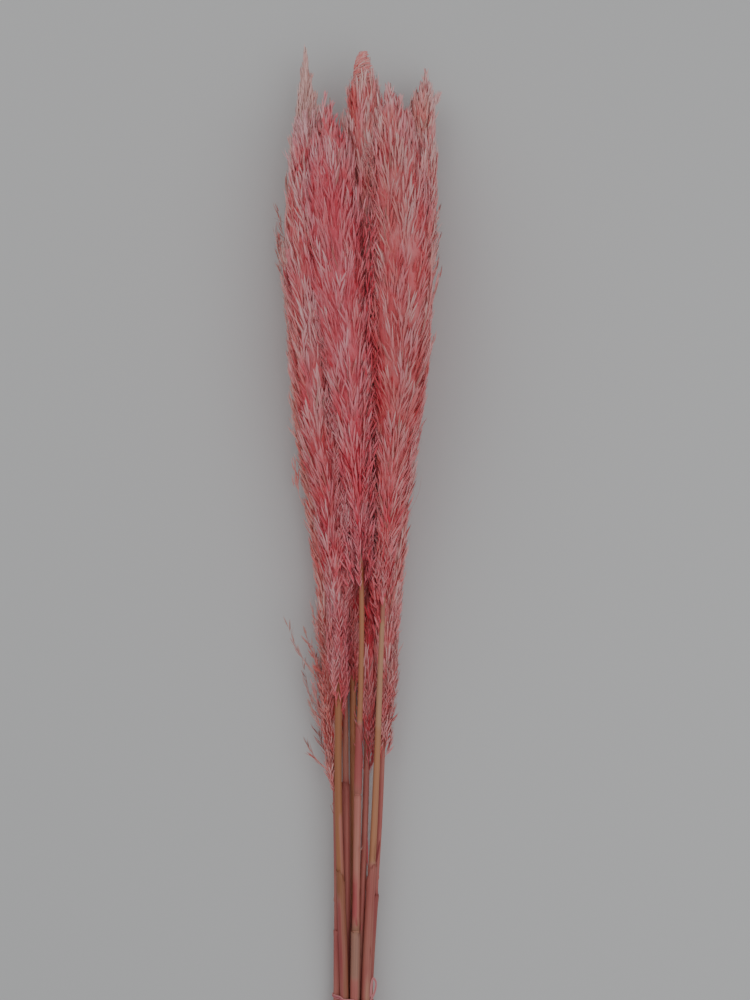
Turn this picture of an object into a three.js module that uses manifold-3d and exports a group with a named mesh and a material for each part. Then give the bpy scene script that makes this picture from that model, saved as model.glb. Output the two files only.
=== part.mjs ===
// A bundle of eight dried, pink-dyed pampas grass stalks, tied near their cut ends and lying on a surface.
// Millimetres. +Y runs from the cut ends to the plume tips, +X is to the right seen from above, and +Z is up.
// The origin is on the surface, under the middle of the bundle. Each stalk is a straw-coloured stem, with its
// leaf sheaths grown round it, and a pink plume. The plumes press each other, and the surface, out of round.
import * as THREE from "three";
import { mergeVertices } from "three/addons/utils/BufferGeometryUtils.js";
import Module from "manifold-3d";

// Every stalk's line is given at these seven stations along the bundle: the cut ends, the tie, the bare
// stems, then four across the plumes.
const STATIONS = [-400, -321, -170, 0, 135, 270, 400];

// x and z are the stalk's centre at each station. The plume runs from base to tip along Y. Its radius is the
// free one at its fullest place, which is a share of its length from the base, and taper is how slim it is
// towards its base and its tip. cut is where the stem is cut off. steps are the stem's radii: each is [Y,
// radius], and two at nearly one Y are the torn top of a leaf sheath, out of which the next length comes.
const STALKS = [
  {
    name: "front_left",
    x: [-4.3, -3.3, -1.1, 1.9, -7.5, -19, -22],
    z: [14.6, 17.6, 24.1, 46, 53, 55, 52],
    plume: { base: 4, tip: 366, radius: 22, fullest: 0.6, taper: [0.6, 0.5], tufts: 130 },
    cut: -398,
    steps: [[-398, 3.6], [-264, 3.5], [-262, 2.8], [-160, 2.75], [-158, 2.95], [-108, 2.7], [-105, 2.35], [4, 2.1]],
  },
  {
    name: "left",
    x: [-12.2, -10.8, -15.4, -16, -29, -37, -42],
    z: [12.7, 16.5, 24.5, 39, 44, 45, 43],
    plume: { base: -56, tip: 357, radius: 20, fullest: 0.58, taper: [0.5, 0.55], tufts: 120 },
    cut: -400,
    steps: [[-400, 3.3], [-56, 3]],
  },
  {
    name: "front_right",
    x: [6.1, 4.7, 12, 18.8, 27.8, 30, 21],
    z: [12.8, 16.4, 22, 42, 50, 51, 48],
    plume: { base: -22, tip: 376, radius: 24, fullest: 0.6, taper: [0.6, 0.5], tufts: 132 },
    cut: -393,
    steps: [[-393, 3.4], [-214, 3.3], [-212, 2.85], [-90, 2.45], [-22, 1.95]],
  },
  {
    name: "outer_left",
    x: [-18.6, -16.2, -17, -22.5, -33.4, -39.6, -40.5],
    z: [8, 11, 15.6, 24, 23, 24, 25],
    plume: { base: -158, tip: 400, radius: 19, fullest: 0.62, taper: [0.5, 1.1], tufts: 100 },
    cut: -396,
    steps: [[-396, 3.3], [-158, 2.8]],
  },
  {
    name: "centre",
    x: [-4.8, -4.1, -4.8, -3.1, 5.2, 7, 2.2],
    z: [3.6, 5.2, 9.5, 28, 36, 38, 37],
    plume: { base: -64, tip: 398, radius: 21, fullest: 0.6, taper: [0.5, 0.5], tufts: 140 },
    cut: -395,
    steps: [[-395, 3.2], [-250, 3.1], [-248, 2.8], [-64, 2.6]],
  },
  {
    name: "outer_right",
    x: [8.9, 6.8, 15.7, 21.8, 30, 40.5, 51],
    z: [5.4, 8.7, 14, 20, 23, 24, 24],
    plume: { base: -132, tip: 384, radius: 20, fullest: 0.62, taper: [0.5, 0.6], tufts: 112 },
    cut: -397,
    steps: [[-397, 3.3], [-236, 3.2], [-234, 2.8], [-132, 2.5]],
  },
  {
    name: "under_left",
    x: [-11.6, -9.6, -9.8, -12.2, -15.8, -16, -13],
    z: [5.6, 9.5, 17.1, 12.6, 15, 11.6, 10],
    plume: { base: -88, tip: 312, radius: 23, fullest: 0.58, taper: [0.5, 0.6], tufts: 90 },
    cut: -399,
    steps: [[-399, 3.2], [-152, 3], [-150, 2.6], [-88, 2.4]],
  },
  {
    name: "under_right",
    x: [1.6, 0, 4.9, 9, 12, 13, 30],
    z: [7.3, 11.1, 16.9, 11.6, 14.4, 12.8, 12],
    plume: { base: -130, tip: 362, radius: 22, fullest: 0.58, taper: [0.5, 0.7], tufts: 90 },
    cut: -392,
    steps: [[-392, 3.2], [-282, 3.1], [-280, 2.8], [-130, 2.5]],
  },
];

// Single branches that stand off the plume: each is its root's Y and its tip, as [X, Y, Z].
const STRAYS = {
  outer_left: [
    [-84, [-53, -34, 30]],
    [-80, [-39, -40, 38]],
    [-118, [-41.5, -64, 16]],
    [-147, [-38, -124, 24]],
    [-143, [-31, -116, 10]],
    [-128, [-36, -92, 32]],
    [204, [-62.5, 262, 25]],
    [190, [-61.5, 246, 18]],
    [222, [-60.5, 278, 27]],
  ],
  outer_right: [
    [-96, [29.5, -46, 26]],
    [-118, [24, -82, 18]],
    [206, [60.8, 258, 22]],
    [226, [60.2, 280, 17]],
  ],
};

const CELL_GAP = 0.65; // between a plume and the face where its neighbour's begins
const STEM_CLEARANCE = 0.7; // between a stem's surface and a neighbour's plume
const SEAT_GAP = 0.3; // between a stem's top and its plume's base
const CORE_SHARE = 0.76; // a plume's packed inside, as a share of the plume's free radius
const CORE_SIDES = 10;
const CORE_STEP = 30; // between two of its rings, which all the plumes have at the same places
const CORE_TIP = 0.93; // where the core ends, as a share of the plume's length
const CORE_END_SHARE = 0.45;
const BASE_RINGS = [0, 7, 20]; // how far past a plume's base every core near it has a ring
const LEAST_STEP = 3;
const LEADER_WIDTH = 6; // the tuft that the rachis ends in
const LEADER_THICKNESS = 4;
const TUFT_LENGTH = 60;
const TUFT_WIDTH = 13;
const TUFT_THICKNESS = 4.2;
const TUFT_FREEDOM = 0.86; // a tuft needs this share of the free radius: none grows where a neighbour presses
const STRAY_WIDTH = 3.2;
const STRAY_THICKNESS = 2;
const LEAST_REACH = 1.2;
const STEM_SIDES = 8;
const STEM_STRETCH = 46; // the longest length of stem between two rings
const NODE_SWELL = 0.35; // how far a knuckle of the stem stands out
const NODE_LENGTH = 2.6;
const KNUCKLES = [-355, -232]; // where the stems have a knuckle, before each one's own shift

// The raffia tie: strands wound side by side, each leaning across the bundle, with a knot in front.
const TIE_TURNS = [
  { y: -315.5, lean: 3 },
  { y: -321, lean: 0.6 },
];
const TIE_SPAN = [-327, -311];
const TIE_SIDES = 20;
const TIE_GAP = 0.4;
const STRAND_WIDTH = 2.6;
const STRAND_THICKNESS = 0.9;
const KNOT = { angle: 0.9, y: -318.6, size: [4.6, 7, 2.8] };
const TIE_ENDS = [
  { width: 2.2, points: [[8.6, -316, 18.6], [11.6, -309, 18.8], [12.6, -302, 19], [10.8, -298.6, 18.8],
    [9.4, -303, 19], [8.6, -313, 19]] },
  { width: 2.4, points: [[8.8, -318, 18], [11, -324, 16], [12.4, -331, 13.2], [12.9, -339, 10.6]] },
  { width: 2.2, points: [[8, -318, 20], [5.9, -324, 21.4], [3.1, -331, 21.6], [1.4, -337, 21.3]] },
];

const PINK = { color: 0xd98a90, roughness: 0.85, metalness: 0 };
const STRAW = { color: 0xcfa274, roughness: 0.6, metalness: 0 };
const RAFFIA = { color: 0xd98096, roughness: 0.7, metalness: 0 };

const wasm = await Module();
wasm.setup();

// A repeatable stream of numbers from 0 to 1.
function seeded(seed) {
  let state = seed >>> 0;
  return () => {
    state = (state + 0x6d2b79f5) >>> 0;
    let mixed = Math.imul(state ^ (state >>> 15), 1 | state);
    mixed = (mixed + Math.imul(mixed ^ (mixed >>> 7), 61 | mixed)) ^ mixed;
    return ((mixed ^ (mixed >>> 14)) >>> 0) / 4294967296;
  };
}

// A smooth line through the values at the stations: a cubic between each two, with the slope at a station
// taken from the stations on both sides of it.
function along(values, y) {
  const last = STATIONS.length - 1;
  let i = 0;
  while (i < last - 1 && y > STATIONS[i + 1]) i += 1;
  const slope = (k) => {
    const [a, b] = [Math.max(k - 1, 0), Math.min(k + 1, last)];
    return (values[b] - values[a]) / (STATIONS[b] - STATIONS[a]);
  };
  const width = STATIONS[i + 1] - STATIONS[i];
  const t = (y - STATIONS[i]) / width;
  const [t2, t3] = [t * t, t * t * t];
  return (
    (2 * t3 - 3 * t2 + 1) * values[i] +
    (t3 - 2 * t2 + t) * width * slope(i) +
    (3 * t2 - 2 * t3) * values[i + 1] +
    (t3 - t2) * width * slope(i + 1)
  );
}

const centre = (stalk, y) => ({ x: along(stalk.x, y), z: along(stalk.z, y) });

// The stem's radius, straight between its steps.
function stemRadius(stalk, y) {
  const { steps } = stalk;
  if (y <= steps[0][0]) return steps[0][1];
  for (let i = 1; i < steps.length; i += 1) {
    if (y <= steps[i][0]) {
      const share = (y - steps[i - 1][0]) / (steps[i][0] - steps[i - 1][0]);
      return THREE.MathUtils.lerp(steps[i - 1][1], steps[i][1], share);
    }
  }
  return steps[steps.length - 1][1];
}

// The radius that a plume would have by itself: nothing at its base and tip, and a power of a sine between.
function freeRadius({ plume }, y) {
  const t = (y - plume.base) / (plume.tip - plume.base);
  if (t <= 0 || t >= 1) return 0;
  const skew = Math.log(0.5) / Math.log(plume.fullest);
  const power = THREE.MathUtils.lerp(plume.taper[0], plume.taper[1], t);
  return plume.radius * Math.sin(Math.PI * t ** skew) ** power;
}

// The flat faces that a plume is pressed against at y: one between it and each neighbour, which lies nearer
// the slimmer of the two, and the surface under it. Each is its direction and how far it is from the line.
function faces(stalk, y) {
  const own = centre(stalk, y);
  const ownRadius = Math.max(freeRadius(stalk, y), stemRadius(stalk, y));
  const found = [{ x: 0, z: -1, apart: own.z }];
  for (const other of STALKS) {
    if (other === stalk || y > other.plume.tip) continue;
    const theirs = centre(other, y);
    const [dx, dz] = [theirs.x - own.x, theirs.z - own.z];
    const apart = Math.hypot(dx, dz);
    const theirRadius = Math.max(freeRadius(other, y), stemRadius(other, y));
    const share = (apart * ownRadius) / (ownRadius + theirRadius);
    const most = apart - (y < other.plume.base + 40 ? stemRadius(other, y) + STEM_CLEARANCE : 0);
    found.push({ x: dx / apart, z: dz / apart, apart: Math.min(share, most) - CELL_GAP });
  }
  return found;
}

// How far a plume reaches from its own line at y, in the direction (ux, uz).
function reach(stalk, y, ux, uz) {
  const limits = faces(stalk, y).map((face) => {
    const towards = face.x * ux + face.z * uz;
    return towards > 0 ? face.apart / towards : Infinity;
  });
  return Math.max(Math.min(freeRadius(stalk, y), ...limits), LEAST_REACH);
}

// A geometry as a solid, with its shared vertices merged.
function solidFrom(geometry) {
  const bare = new THREE.BufferGeometry().setAttribute("position", geometry.getAttribute("position"));
  if (geometry.index) bare.setIndex(geometry.index);
  const merged = mergeVertices(bare, 1e-4);
  const mesh = new wasm.Mesh({
    numProp: 3,
    vertProperties: new Float32Array(merged.getAttribute("position").array),
    triVerts: new Uint32Array(merged.index.array),
  });
  mesh.merge();
  return new wasm.Manifold(mesh);
}

function meshFrom(name, solid, look) {
  const { numProp, vertProperties, triVerts, numVert } = solid.getMesh();
  const positions = new Float32Array(numVert * 3);
  for (let i = 0; i < numVert; i += 1) {
    positions.set(vertProperties.subarray(i * numProp, i * numProp + 3), i * 3);
  }
  const geometry = new THREE.BufferGeometry();
  geometry.setAttribute("position", new THREE.BufferAttribute(positions, 3));
  geometry.setIndex(new THREE.BufferAttribute(triVerts, 1));
  geometry.computeVertexNormals();
  const mesh = new THREE.Mesh(geometry, new THREE.MeshStandardMaterial(look));
  mesh.name = name;
  return mesh;
}

// A closed tube whose rings are at the given Y values. place(y, ux, uz) gives the radius in a direction from
// the stalk's line, so that a ring need not be round.
function tube(stalk, rings, sides, place) {
  const steps = rings.length - 1;
  const geometry = new THREE.CylinderGeometry(1, 1, steps, sides, steps, false, Math.PI / sides);
  const position = geometry.getAttribute("position");
  for (let i = 0; i < position.count; i += 1) {
    const [ux, uz] = [position.getX(i), position.getZ(i)];
    const y = rings[Math.round(position.getY(i) + steps / 2)];
    const { x, z } = centre(stalk, y);
    const out = Math.hypot(ux, uz) > 0.5 ? place(y, ux, uz) : 0;
    position.setXYZ(i, x + ux * out, y, z + uz * out);
  }
  return solidFrom(geometry);
}

// A share of the plume's free radius, as far as its neighbours and the surface leave room for it.
const coreReach = (stalk, y, ux, uz) =>
  Math.min(Math.max(CORE_SHARE * freeRadius(stalk, y), LEAST_REACH), reach(stalk, y, ux, uz));

// Where the cores have their rings: at regular places, and closer together where a plume begins.
function coreRings({ plume: { base, tip } }) {
  const end = THREE.MathUtils.lerp(base, tip, CORE_TIP);
  const wanted = STALKS.flatMap((other) => BASE_RINGS.map((past) => other.plume.base + past));
  for (let y = CORE_STEP * Math.ceil(base / CORE_STEP); y < end; y += CORE_STEP) wanted.push(y);
  const rings = [base + SEAT_GAP, base + BASE_RINGS[1]];
  for (const y of wanted.sort((a, b) => a - b)) {
    if (y > rings[rings.length - 1] + LEAST_STEP && y < end - LEAST_STEP) rings.push(y);
  }
  return [...rings, end];
}

// The plume's packed inside, its rachis and inner branches: a tapering body that the tufts stand out of.
function plumeCore(stalk) {
  const rings = coreRings(stalk);
  const seat = 0.9 * stemRadius(stalk, stalk.plume.base);
  const last = rings[rings.length - 1];
  return tube(stalk, rings, CORE_SIDES, (y, ux, uz) => {
    if (y === rings[0]) return seat;
    return coreReach(stalk, y, ux, uz) * (y === last ? CORE_END_SHARE : 1);
  });
}

// A three-sided blade from root to tip, with its keel on the side away from the stalk's line.
function blade(root, tip, outward, width, thickness) {
  const run = new THREE.Vector3().subVectors(tip, root);
  const geometry = new THREE.ConeGeometry(1, 1, 3);
  geometry.translate(0, 0.5, 0);
  geometry.scale(width / Math.sqrt(3), run.length(), thickness / 1.5);
  const lengthwise = run.clone().normalize();
  const keel = outward.clone().addScaledVector(lengthwise, -outward.dot(lengthwise)).normalize();
  const across = new THREE.Vector3().crossVectors(lengthwise, keel);
  geometry.applyMatrix4(new THREE.Matrix4().makeBasis(across, lengthwise, keel).setPosition(root));
  return solidFrom(geometry);
}

// One tuft of spikelets, or none where a neighbour presses: its root is sunk in the core, and its tip is at
// the plume's reach, further along. One that would cross a neighbour is made narrower until it is clear.
function tuft(stalk, rootY, angle, random) {
  const { tip: end, radius } = stalk.plume;
  const [ux, uz] = [Math.cos(angle), Math.sin(angle)];
  const room = Math.min(1, 0.42 + freeRadius(stalk, rootY + 12) / radius);
  const tipY = Math.min(rootY + TUFT_LENGTH * room * (0.8 + 0.4 * random()), end);
  const tipReach = reach(stalk, tipY, ux, uz) * (0.92 + 0.08 * random()) * (tipY < end ? 1 : 0.25);
  const midY = (rootY + tipY) / 2;
  if (reach(stalk, midY, ux, uz) < TUFT_FREEDOM * freeRadius(stalk, midY)) return null;
  const rootOut = 0.5 * coreReach(stalk, rootY, ux, uz);
  const [low, high] = [centre(stalk, rootY), centre(stalk, tipY)];
  const root = new THREE.Vector3(low.x + ux * rootOut, rootY, low.z + uz * rootOut);
  const tip = new THREE.Vector3(high.x + ux * tipReach, tipY, high.z + uz * tipReach);
  const outward = new THREE.Vector3(ux, 0, uz);
  let size = room * Math.min(1, 0.25 + rootOut / 6);
  while (size > 0.2 && !isClear(stalk, root, tip, outward, (size * TUFT_WIDTH) / 2)) size *= 0.8;
  return blade(root, tip, outward, size * TUFT_WIDTH, size * TUFT_THICKNESS);
}

// Whether the edges of a blade, which narrow from the root to the tip, stay on the plume's side of the faces
// between it and its neighbours.
function isClear(stalk, root, tip, outward, halfWidth) {
  return [0.2, 0.4, 0.6, 0.8, 0.95].every((share) =>
    [-1, 1].every((side) => {
      const point = new THREE.Vector3().lerpVectors(root, tip, share);
      point.x -= side * outward.z * halfWidth * (1 - share);
      point.z += side * outward.x * halfWidth * (1 - share);
      const own = centre(stalk, point.y);
      const [dx, dz] = [point.x - own.x, point.z - own.z];
      return faces(stalk, point.y).every((face) => dx * face.x + dz * face.z <= face.apart);
    }),
  );
}

// Where the tufts' roots are: spread by the golden angle, and closer together where the plume is fuller.
function tuftRoots(stalk) {
  const { base, tip, tufts, radius } = stalk.plume;
  const golden = Math.PI * (3 - Math.sqrt(5));
  const slices = 400;
  const weights = [0];
  for (let i = 1; i <= slices; i += 1) {
    const y = THREE.MathUtils.lerp(base, tip, i / slices);
    weights.push(weights[i - 1] + 0.3 * radius + freeRadius(stalk, y + TUFT_LENGTH / 2));
  }
  const roots = [];
  let slice = 0;
  for (let k = 0; k < tufts; k += 1) {
    const wanted = (weights[slices] * (k + 0.5)) / tufts;
    while (weights[slice] < wanted) slice += 1;
    roots.push({ y: THREE.MathUtils.lerp(base + 3, tip - 14, slice / slices), angle: k * golden });
  }
  return roots;
}

// A single branch that stands off the plume, bent clear of everything.
function stray(stalk, rootY, [x, y, z]) {
  const line = centre(stalk, rootY);
  const outward = new THREE.Vector3(x - line.x, 0, z - line.z).normalize();
  const root = new THREE.Vector3(line.x, rootY, line.z);
  return blade(root, new THREE.Vector3(x, y, z), outward, STRAY_WIDTH, STRAY_THICKNESS);
}

// The last tuft, which carries the rachis on to the plume's tip.
function leader(stalk) {
  const { base, tip } = stalk.plume;
  const [low, high] = [THREE.MathUtils.lerp(base, tip, CORE_TIP) - 12, tip];
  const [from, to] = [centre(stalk, low), centre(stalk, high)];
  const root = new THREE.Vector3(from.x, low, from.z);
  const up = new THREE.Vector3(0, 0, 1);
  return blade(root, new THREE.Vector3(to.x, high, to.z), up, LEADER_WIDTH, LEADER_THICKNESS);
}

function plumeSolid(stalk, seed) {
  const random = seeded(seed);
  const tufts = tuftRoots(stalk).map(({ y, angle }) => tuft(stalk, y, angle, random));
  const strays = (STRAYS[stalk.name] ?? []).map(([rootY, tip]) => stray(stalk, rootY, tip));
  return wasm.Manifold.union([plumeCore(stalk), leader(stalk), ...tufts.filter(Boolean), ...strays]);
}

// The room that a stem needs, with its clearance, as a tube to cut out of the plumes that it passes.
function stemRoom(stalk) {
  const rings = stemRings(stalk, SEAT_GAP - 0.02);
  return tube(stalk, rings, STEM_SIDES, (y) => stemRadius(stalk, y) + CELL_GAP + 0.1);
}

function stemRings(stalk, past = 0) {
  const { cut, plume, steps } = stalk;
  const fixed = new Set([cut, TIE_SPAN[0], TIE_SPAN[1], plume.base + past]);
  steps.forEach(([y]) => fixed.add(y));
  for (const knuckle of KNUCKLES) {
    const y = knuckle + 0.6 * (stalk.x[0] + cut + 400);
    [-1, 0, 1].forEach((k) => fixed.add(y + (k * NODE_LENGTH) / 2));
  }
  const sorted = [...fixed].filter((y) => y >= cut && y <= plume.base + past).sort((a, b) => a - b);
  const rings = [sorted[0]];
  for (const y of sorted.slice(1)) {
    const from = rings[rings.length - 1];
    const parts = Math.ceil((y - from) / STEM_STRETCH);
    for (let i = 1; i <= parts; i += 1) rings.push(THREE.MathUtils.lerp(from, y, i / parts));
  }
  return rings;
}

// The stem: a tapering reed with knuckles, which its leaf sheaths make thicker up to their torn tops.
function stemSolid(stalk) {
  const knuckles = KNUCKLES.map((y) => y + 0.6 * (stalk.x[0] + stalk.cut + 400));
  return tube(stalk, stemRings(stalk), STEM_SIDES, (y) => {
    const swell = knuckles.some((knuckle) => Math.abs(y - knuckle) < 0.01) ? NODE_SWELL : 0;
    return stemRadius(stalk, y) + swell;
  });
}

// The place just off the stems where a strand pulled round them at y would lie, seen in one direction.
function tiePoint(y, angle, off) {
  const [ux, uz] = [Math.cos(angle), Math.sin(angle)];
  const outermost = STALKS.map((stalk) => {
    const { x, z } = centre(stalk, y);
    return { x, z, out: x * ux + z * uz + stemRadius(stalk, y), radius: stemRadius(stalk, y) };
  }).reduce((best, stem) => (stem.out > best.out ? stem : best));
  const radius = outermost.radius + off;
  return new THREE.Vector3(outermost.x + ux * radius, y, outermost.z + uz * radius);
}

// One turn of the tie: a flat strand, bent round the stems from the knot back to the knot.
function tieTurn({ y: middle, lean }) {
  const geometry = new THREE.BoxGeometry(1, 1, 1, TIE_SIDES, 1, 1);
  const position = geometry.getAttribute("position");
  for (let i = 0; i < position.count; i += 1) {
    const angle = KNOT.angle - 1.995 * Math.PI * (position.getX(i) + 0.5);
    const y = middle - lean * Math.cos(angle);
    const off = TIE_GAP + STRAND_THICKNESS * (position.getZ(i) + 0.5);
    const { x, z } = tiePoint(y, angle, off);
    position.setXYZ(i, x, y + STRAND_WIDTH * position.getY(i), z);
  }
  return solidFrom(geometry);
}

// The loop or a tail of the knot: a flat strand along a curve.
function tieEnd({ width, points }) {
  const [w, t] = [width / 2, STRAND_THICKNESS / 2];
  const outline = new THREE.Shape([[-w, -t], [w, -t], [w, t], [-w, t]].map((xy) => new THREE.Vector2(...xy)));
  const path = new THREE.CatmullRomCurve3(points.map((point) => new THREE.Vector3(...point)));
  return solidFrom(new THREE.ExtrudeGeometry(outline, { steps: 3 * points.length, extrudePath: path }));
}

function tieSolid() {
  const knot = new THREE.IcosahedronGeometry(0.5, 1).scale(...KNOT.size);
  knot.rotateY(Math.PI / 2 - KNOT.angle);
  const seat = tiePoint(KNOT.y, KNOT.angle, TIE_GAP + KNOT.size[2] / 2);
  knot.translate(seat.x, seat.y, seat.z);
  const wound = [...TIE_TURNS.map(tieTurn), solidFrom(knot), ...TIE_ENDS.map(tieEnd)];
  return wasm.Manifold.union(wound);
}

// The body that is left once the scraps that a cut made are dropped.
function largest(solid) {
  return solid.decompose().reduce((best, body) => (body.volume() > best.volume() ? body : best));
}

const above = solidFrom(new THREE.BoxGeometry(400, 1000, 200).translate(0, 0, 100));

const bundle = new THREE.Group();
const stems = STALKS.map(stemSolid);
const allRooms = wasm.Manifold.union(STALKS.map(stemRoom));
STALKS.forEach((stalk, i) => {
  const plume = largest(plumeSolid(stalk, 11 + i).intersect(above).subtract(allRooms));
  bundle.add(meshFrom(`stem_${stalk.name}`, stems[i], STRAW));
  bundle.add(meshFrom(`plume_${stalk.name}`, plume, PINK));
});
bundle.add(meshFrom("tie", largest(tieSolid()), RAFFIA));

export default bundle;
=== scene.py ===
"""A bunch of eight dried pampas grass stalks, dyed pink, tied with raffia near their cut ends and laid down."""

import bpy
import numpy as np
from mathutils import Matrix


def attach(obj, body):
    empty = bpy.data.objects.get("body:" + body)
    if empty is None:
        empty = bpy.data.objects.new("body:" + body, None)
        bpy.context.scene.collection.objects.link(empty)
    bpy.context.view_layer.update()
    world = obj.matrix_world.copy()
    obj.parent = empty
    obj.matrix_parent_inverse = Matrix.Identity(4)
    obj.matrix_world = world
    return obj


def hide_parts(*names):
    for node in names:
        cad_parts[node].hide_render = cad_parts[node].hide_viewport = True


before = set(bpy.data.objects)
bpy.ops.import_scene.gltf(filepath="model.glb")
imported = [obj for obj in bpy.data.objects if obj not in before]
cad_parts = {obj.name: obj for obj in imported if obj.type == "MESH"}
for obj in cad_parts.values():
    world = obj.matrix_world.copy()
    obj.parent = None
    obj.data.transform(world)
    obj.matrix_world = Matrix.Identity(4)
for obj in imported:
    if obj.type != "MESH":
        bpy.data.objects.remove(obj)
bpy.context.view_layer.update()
MM = 0.001


# The stalks. Each is one grass stalk, grown as one piece: a stem, and a plume that its rachis runs on through.
# They fan out from the tie, bear on each other and on the surface, and so each has its own bent line.

STATIONS = np.array([-400, -321, -170, 0, 135, 270, 400.0])

# x and z are the stalk's centre at each station along Y, in millimetres. The plume runs from base to tip. Its
# radius is the free one at its fullest place, a share of its length from the base, and taper is how slim it is
# at its base and its tip. cut is where the stem is cut off, and steps are its radii as (Y, radius). spine is
# how far the rachis stands above the tip, or ends under it.
STALKS = {
    "front_left": dict(
        x=[-4.3, -3.3, -1.1, 1.9, -7.5, -19, -22], z=[14.6, 17.6, 24.1, 46, 53, 55, 52],
        base=4, tip=366, spine=-10, radius=22, fullest=0.6, taper=(0.6, 0.5), cut=-398,
        steps=[(-398, 3.6), (-264, 3.5), (-262, 2.8), (-160, 2.75), (-158, 2.95), (-108, 2.7), (-105, 2.35),
               (4, 2.1)],
    ),
    "left": dict(
        x=[-12.2, -10.8, -15.4, -16, -29, -37, -42], z=[12.7, 16.5, 24.5, 39, 44, 45, 43],
        base=-56, tip=357, radius=20, fullest=0.58, taper=(0.5, 0.55), cut=-400,
        steps=[(-400, 3.3), (-56, 3)],
    ),
    "front_right": dict(
        x=[6.1, 4.7, 12, 18.8, 27.8, 30, 21], z=[12.8, 16.4, 22, 42, 50, 51, 48],
        base=-22, tip=376, spine=-8, radius=24, fullest=0.6, taper=(0.6, 0.5), cut=-393,
        steps=[(-393, 3.4), (-214, 3.3), (-212, 2.85), (-90, 2.45), (-22, 1.95)],
    ),
    "outer_left": dict(
        x=[-18.6, -16.2, -17, -22.5, -33.4, -39.6, -40.5], z=[8, 11, 15.6, 24, 23, 24, 25],
        base=-158, tip=400, radius=19, fullest=0.62, taper=(0.5, 1.1), cut=-396,
        steps=[(-396, 3.3), (-158, 2.8)],
    ),
    "centre": dict(
        x=[-4.8, -4.1, -4.8, -3.1, 5.2, 7, 2.2], z=[3.6, 5.2, 9.5, 28, 36, 38, 37],
        base=-64, tip=398, spine=-9, radius=21, fullest=0.6, taper=(0.5, 0.5), cut=-395,
        steps=[(-395, 3.2), (-250, 3.1), (-248, 2.8), (-64, 2.6)],
    ),
    "outer_right": dict(
        x=[8.9, 6.8, 15.7, 21.8, 30, 40.5, 51], z=[5.4, 8.7, 14, 20, 23, 24, 24],
        base=-132, tip=384, radius=20, fullest=0.62, taper=(0.5, 0.6), cut=-397,
        steps=[(-397, 3.3), (-236, 3.2), (-234, 2.8), (-132, 2.5)],
    ),
    "under_left": dict(
        x=[-11.6, -9.6, -9.8, -12.2, -15.8, -16, -13], z=[5.6, 9.5, 17.1, 12.6, 15, 11.6, 10],
        base=-88, tip=312, radius=23, fullest=0.58, taper=(0.5, 0.6), cut=-399,
        steps=[(-399, 3.2), (-152, 3), (-150, 2.6), (-88, 2.4)],
    ),
    "under_right": dict(
        x=[1.6, 0, 4.9, 9, 12, 13, 30], z=[7.3, 11.1, 16.9, 11.6, 14.4, 12.8, 12],
        base=-130, tip=362, radius=22, fullest=0.58, taper=(0.5, 0.7), cut=-392,
        steps=[(-392, 3.2), (-282, 3.1), (-280, 2.8), (-130, 2.5)],
    ),
}


def along(values, y):
    """A smooth line through the values at the stations: between two, the cubic
    (2t^3-3t^2+1) a + (t^3-2t^2+t) w m + (3t^2-2t^3) b + (t^3-t^2) w n, where w is their distance and the slopes
    m and n are each taken from the stations on both sides."""
    values = np.asarray(values, float)
    last = len(STATIONS) - 1
    k = np.arange(last + 1)
    before, after = np.maximum(k - 1, 0), np.minimum(k + 1, last)
    slope = (values[after] - values[before]) / (STATIONS[after] - STATIONS[before])
    i = np.clip(np.searchsorted(STATIONS, y) - 1, 0, last - 1)
    w = STATIONS[i + 1] - STATIONS[i]
    t = (y - STATIONS[i]) / w
    t2, t3 = t * t, t * t * t
    return (
        (2 * t3 - 3 * t2 + 1) * values[i] + (t3 - 2 * t2 + t) * w * slope[i]
        + (3 * t2 - 2 * t3) * values[i + 1] + (t3 - t2) * w * slope[i + 1]
    )


def line(name, y):
    """The stalk's centre at y, as an array of points."""
    y = np.asarray(y, float)
    return np.stack([along(STALKS[name]["x"], y), y, along(STALKS[name]["z"], y)], -1)


def stem_radius(name, y):
    """The stem's radius, straight between its steps."""
    at, radius = zip(*STALKS[name]["steps"])
    return np.interp(y, at, radius)


def free_radius(name, y):
    """The radius that a plume would have by itself: radius * sin(pi t^skew)^power, with t from 0 at its base to
    1 at its tip."""
    s = STALKS[name]
    t = np.clip((y - s["base"]) / (s["tip"] - s["base"]), 0, 1)
    power = s["taper"][0] + (s["taper"][1] - s["taper"][0]) * t
    return s["radius"] * np.clip(np.sin(np.pi * t ** (np.log(0.5) / np.log(s["fullest"]))), 0, 1) ** power


def reach(name, y, direction, gap=0.4):
    """How far a plume reaches from its line at y in a direction: its free radius, or the distance to the flat
    face between it and a neighbour, which lies nearer the slimmer of the two, or to the surface. It stays clear
    of a bare stem, and is 1.2 mm at least."""
    own, ux, uz = line(name, y), direction[..., 0], direction[..., 2]
    own_radius = np.maximum(free_radius(name, y), stem_radius(name, y))
    limit = free_radius(name, y)
    for other in STALKS:
        if other == name:
            continue
        aside = line(other, y) - own
        apart = np.hypot(aside[..., 0], aside[..., 2])
        towards = (aside[..., 0] * ux + aside[..., 2] * uz) / apart
        their_radius = np.maximum(free_radius(other, y), stem_radius(other, y))
        share = apart * own_radius / (own_radius + their_radius)
        most = apart - np.where(y < STALKS[other]["base"] + 40, stem_radius(other, y) + 0.7, 0)
        face = (np.minimum(share, most) - gap) / np.maximum(towards, 1e-6)
        limit = np.where((towards > 0) & (y <= STALKS[other]["tip"]), np.minimum(limit, face), limit)
    down = np.where(uz < 0, (own[..., 2] - 0.4) / np.maximum(-uz, 1e-6), np.inf)
    return np.maximum(np.minimum(limit, down), 1.2)


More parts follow.
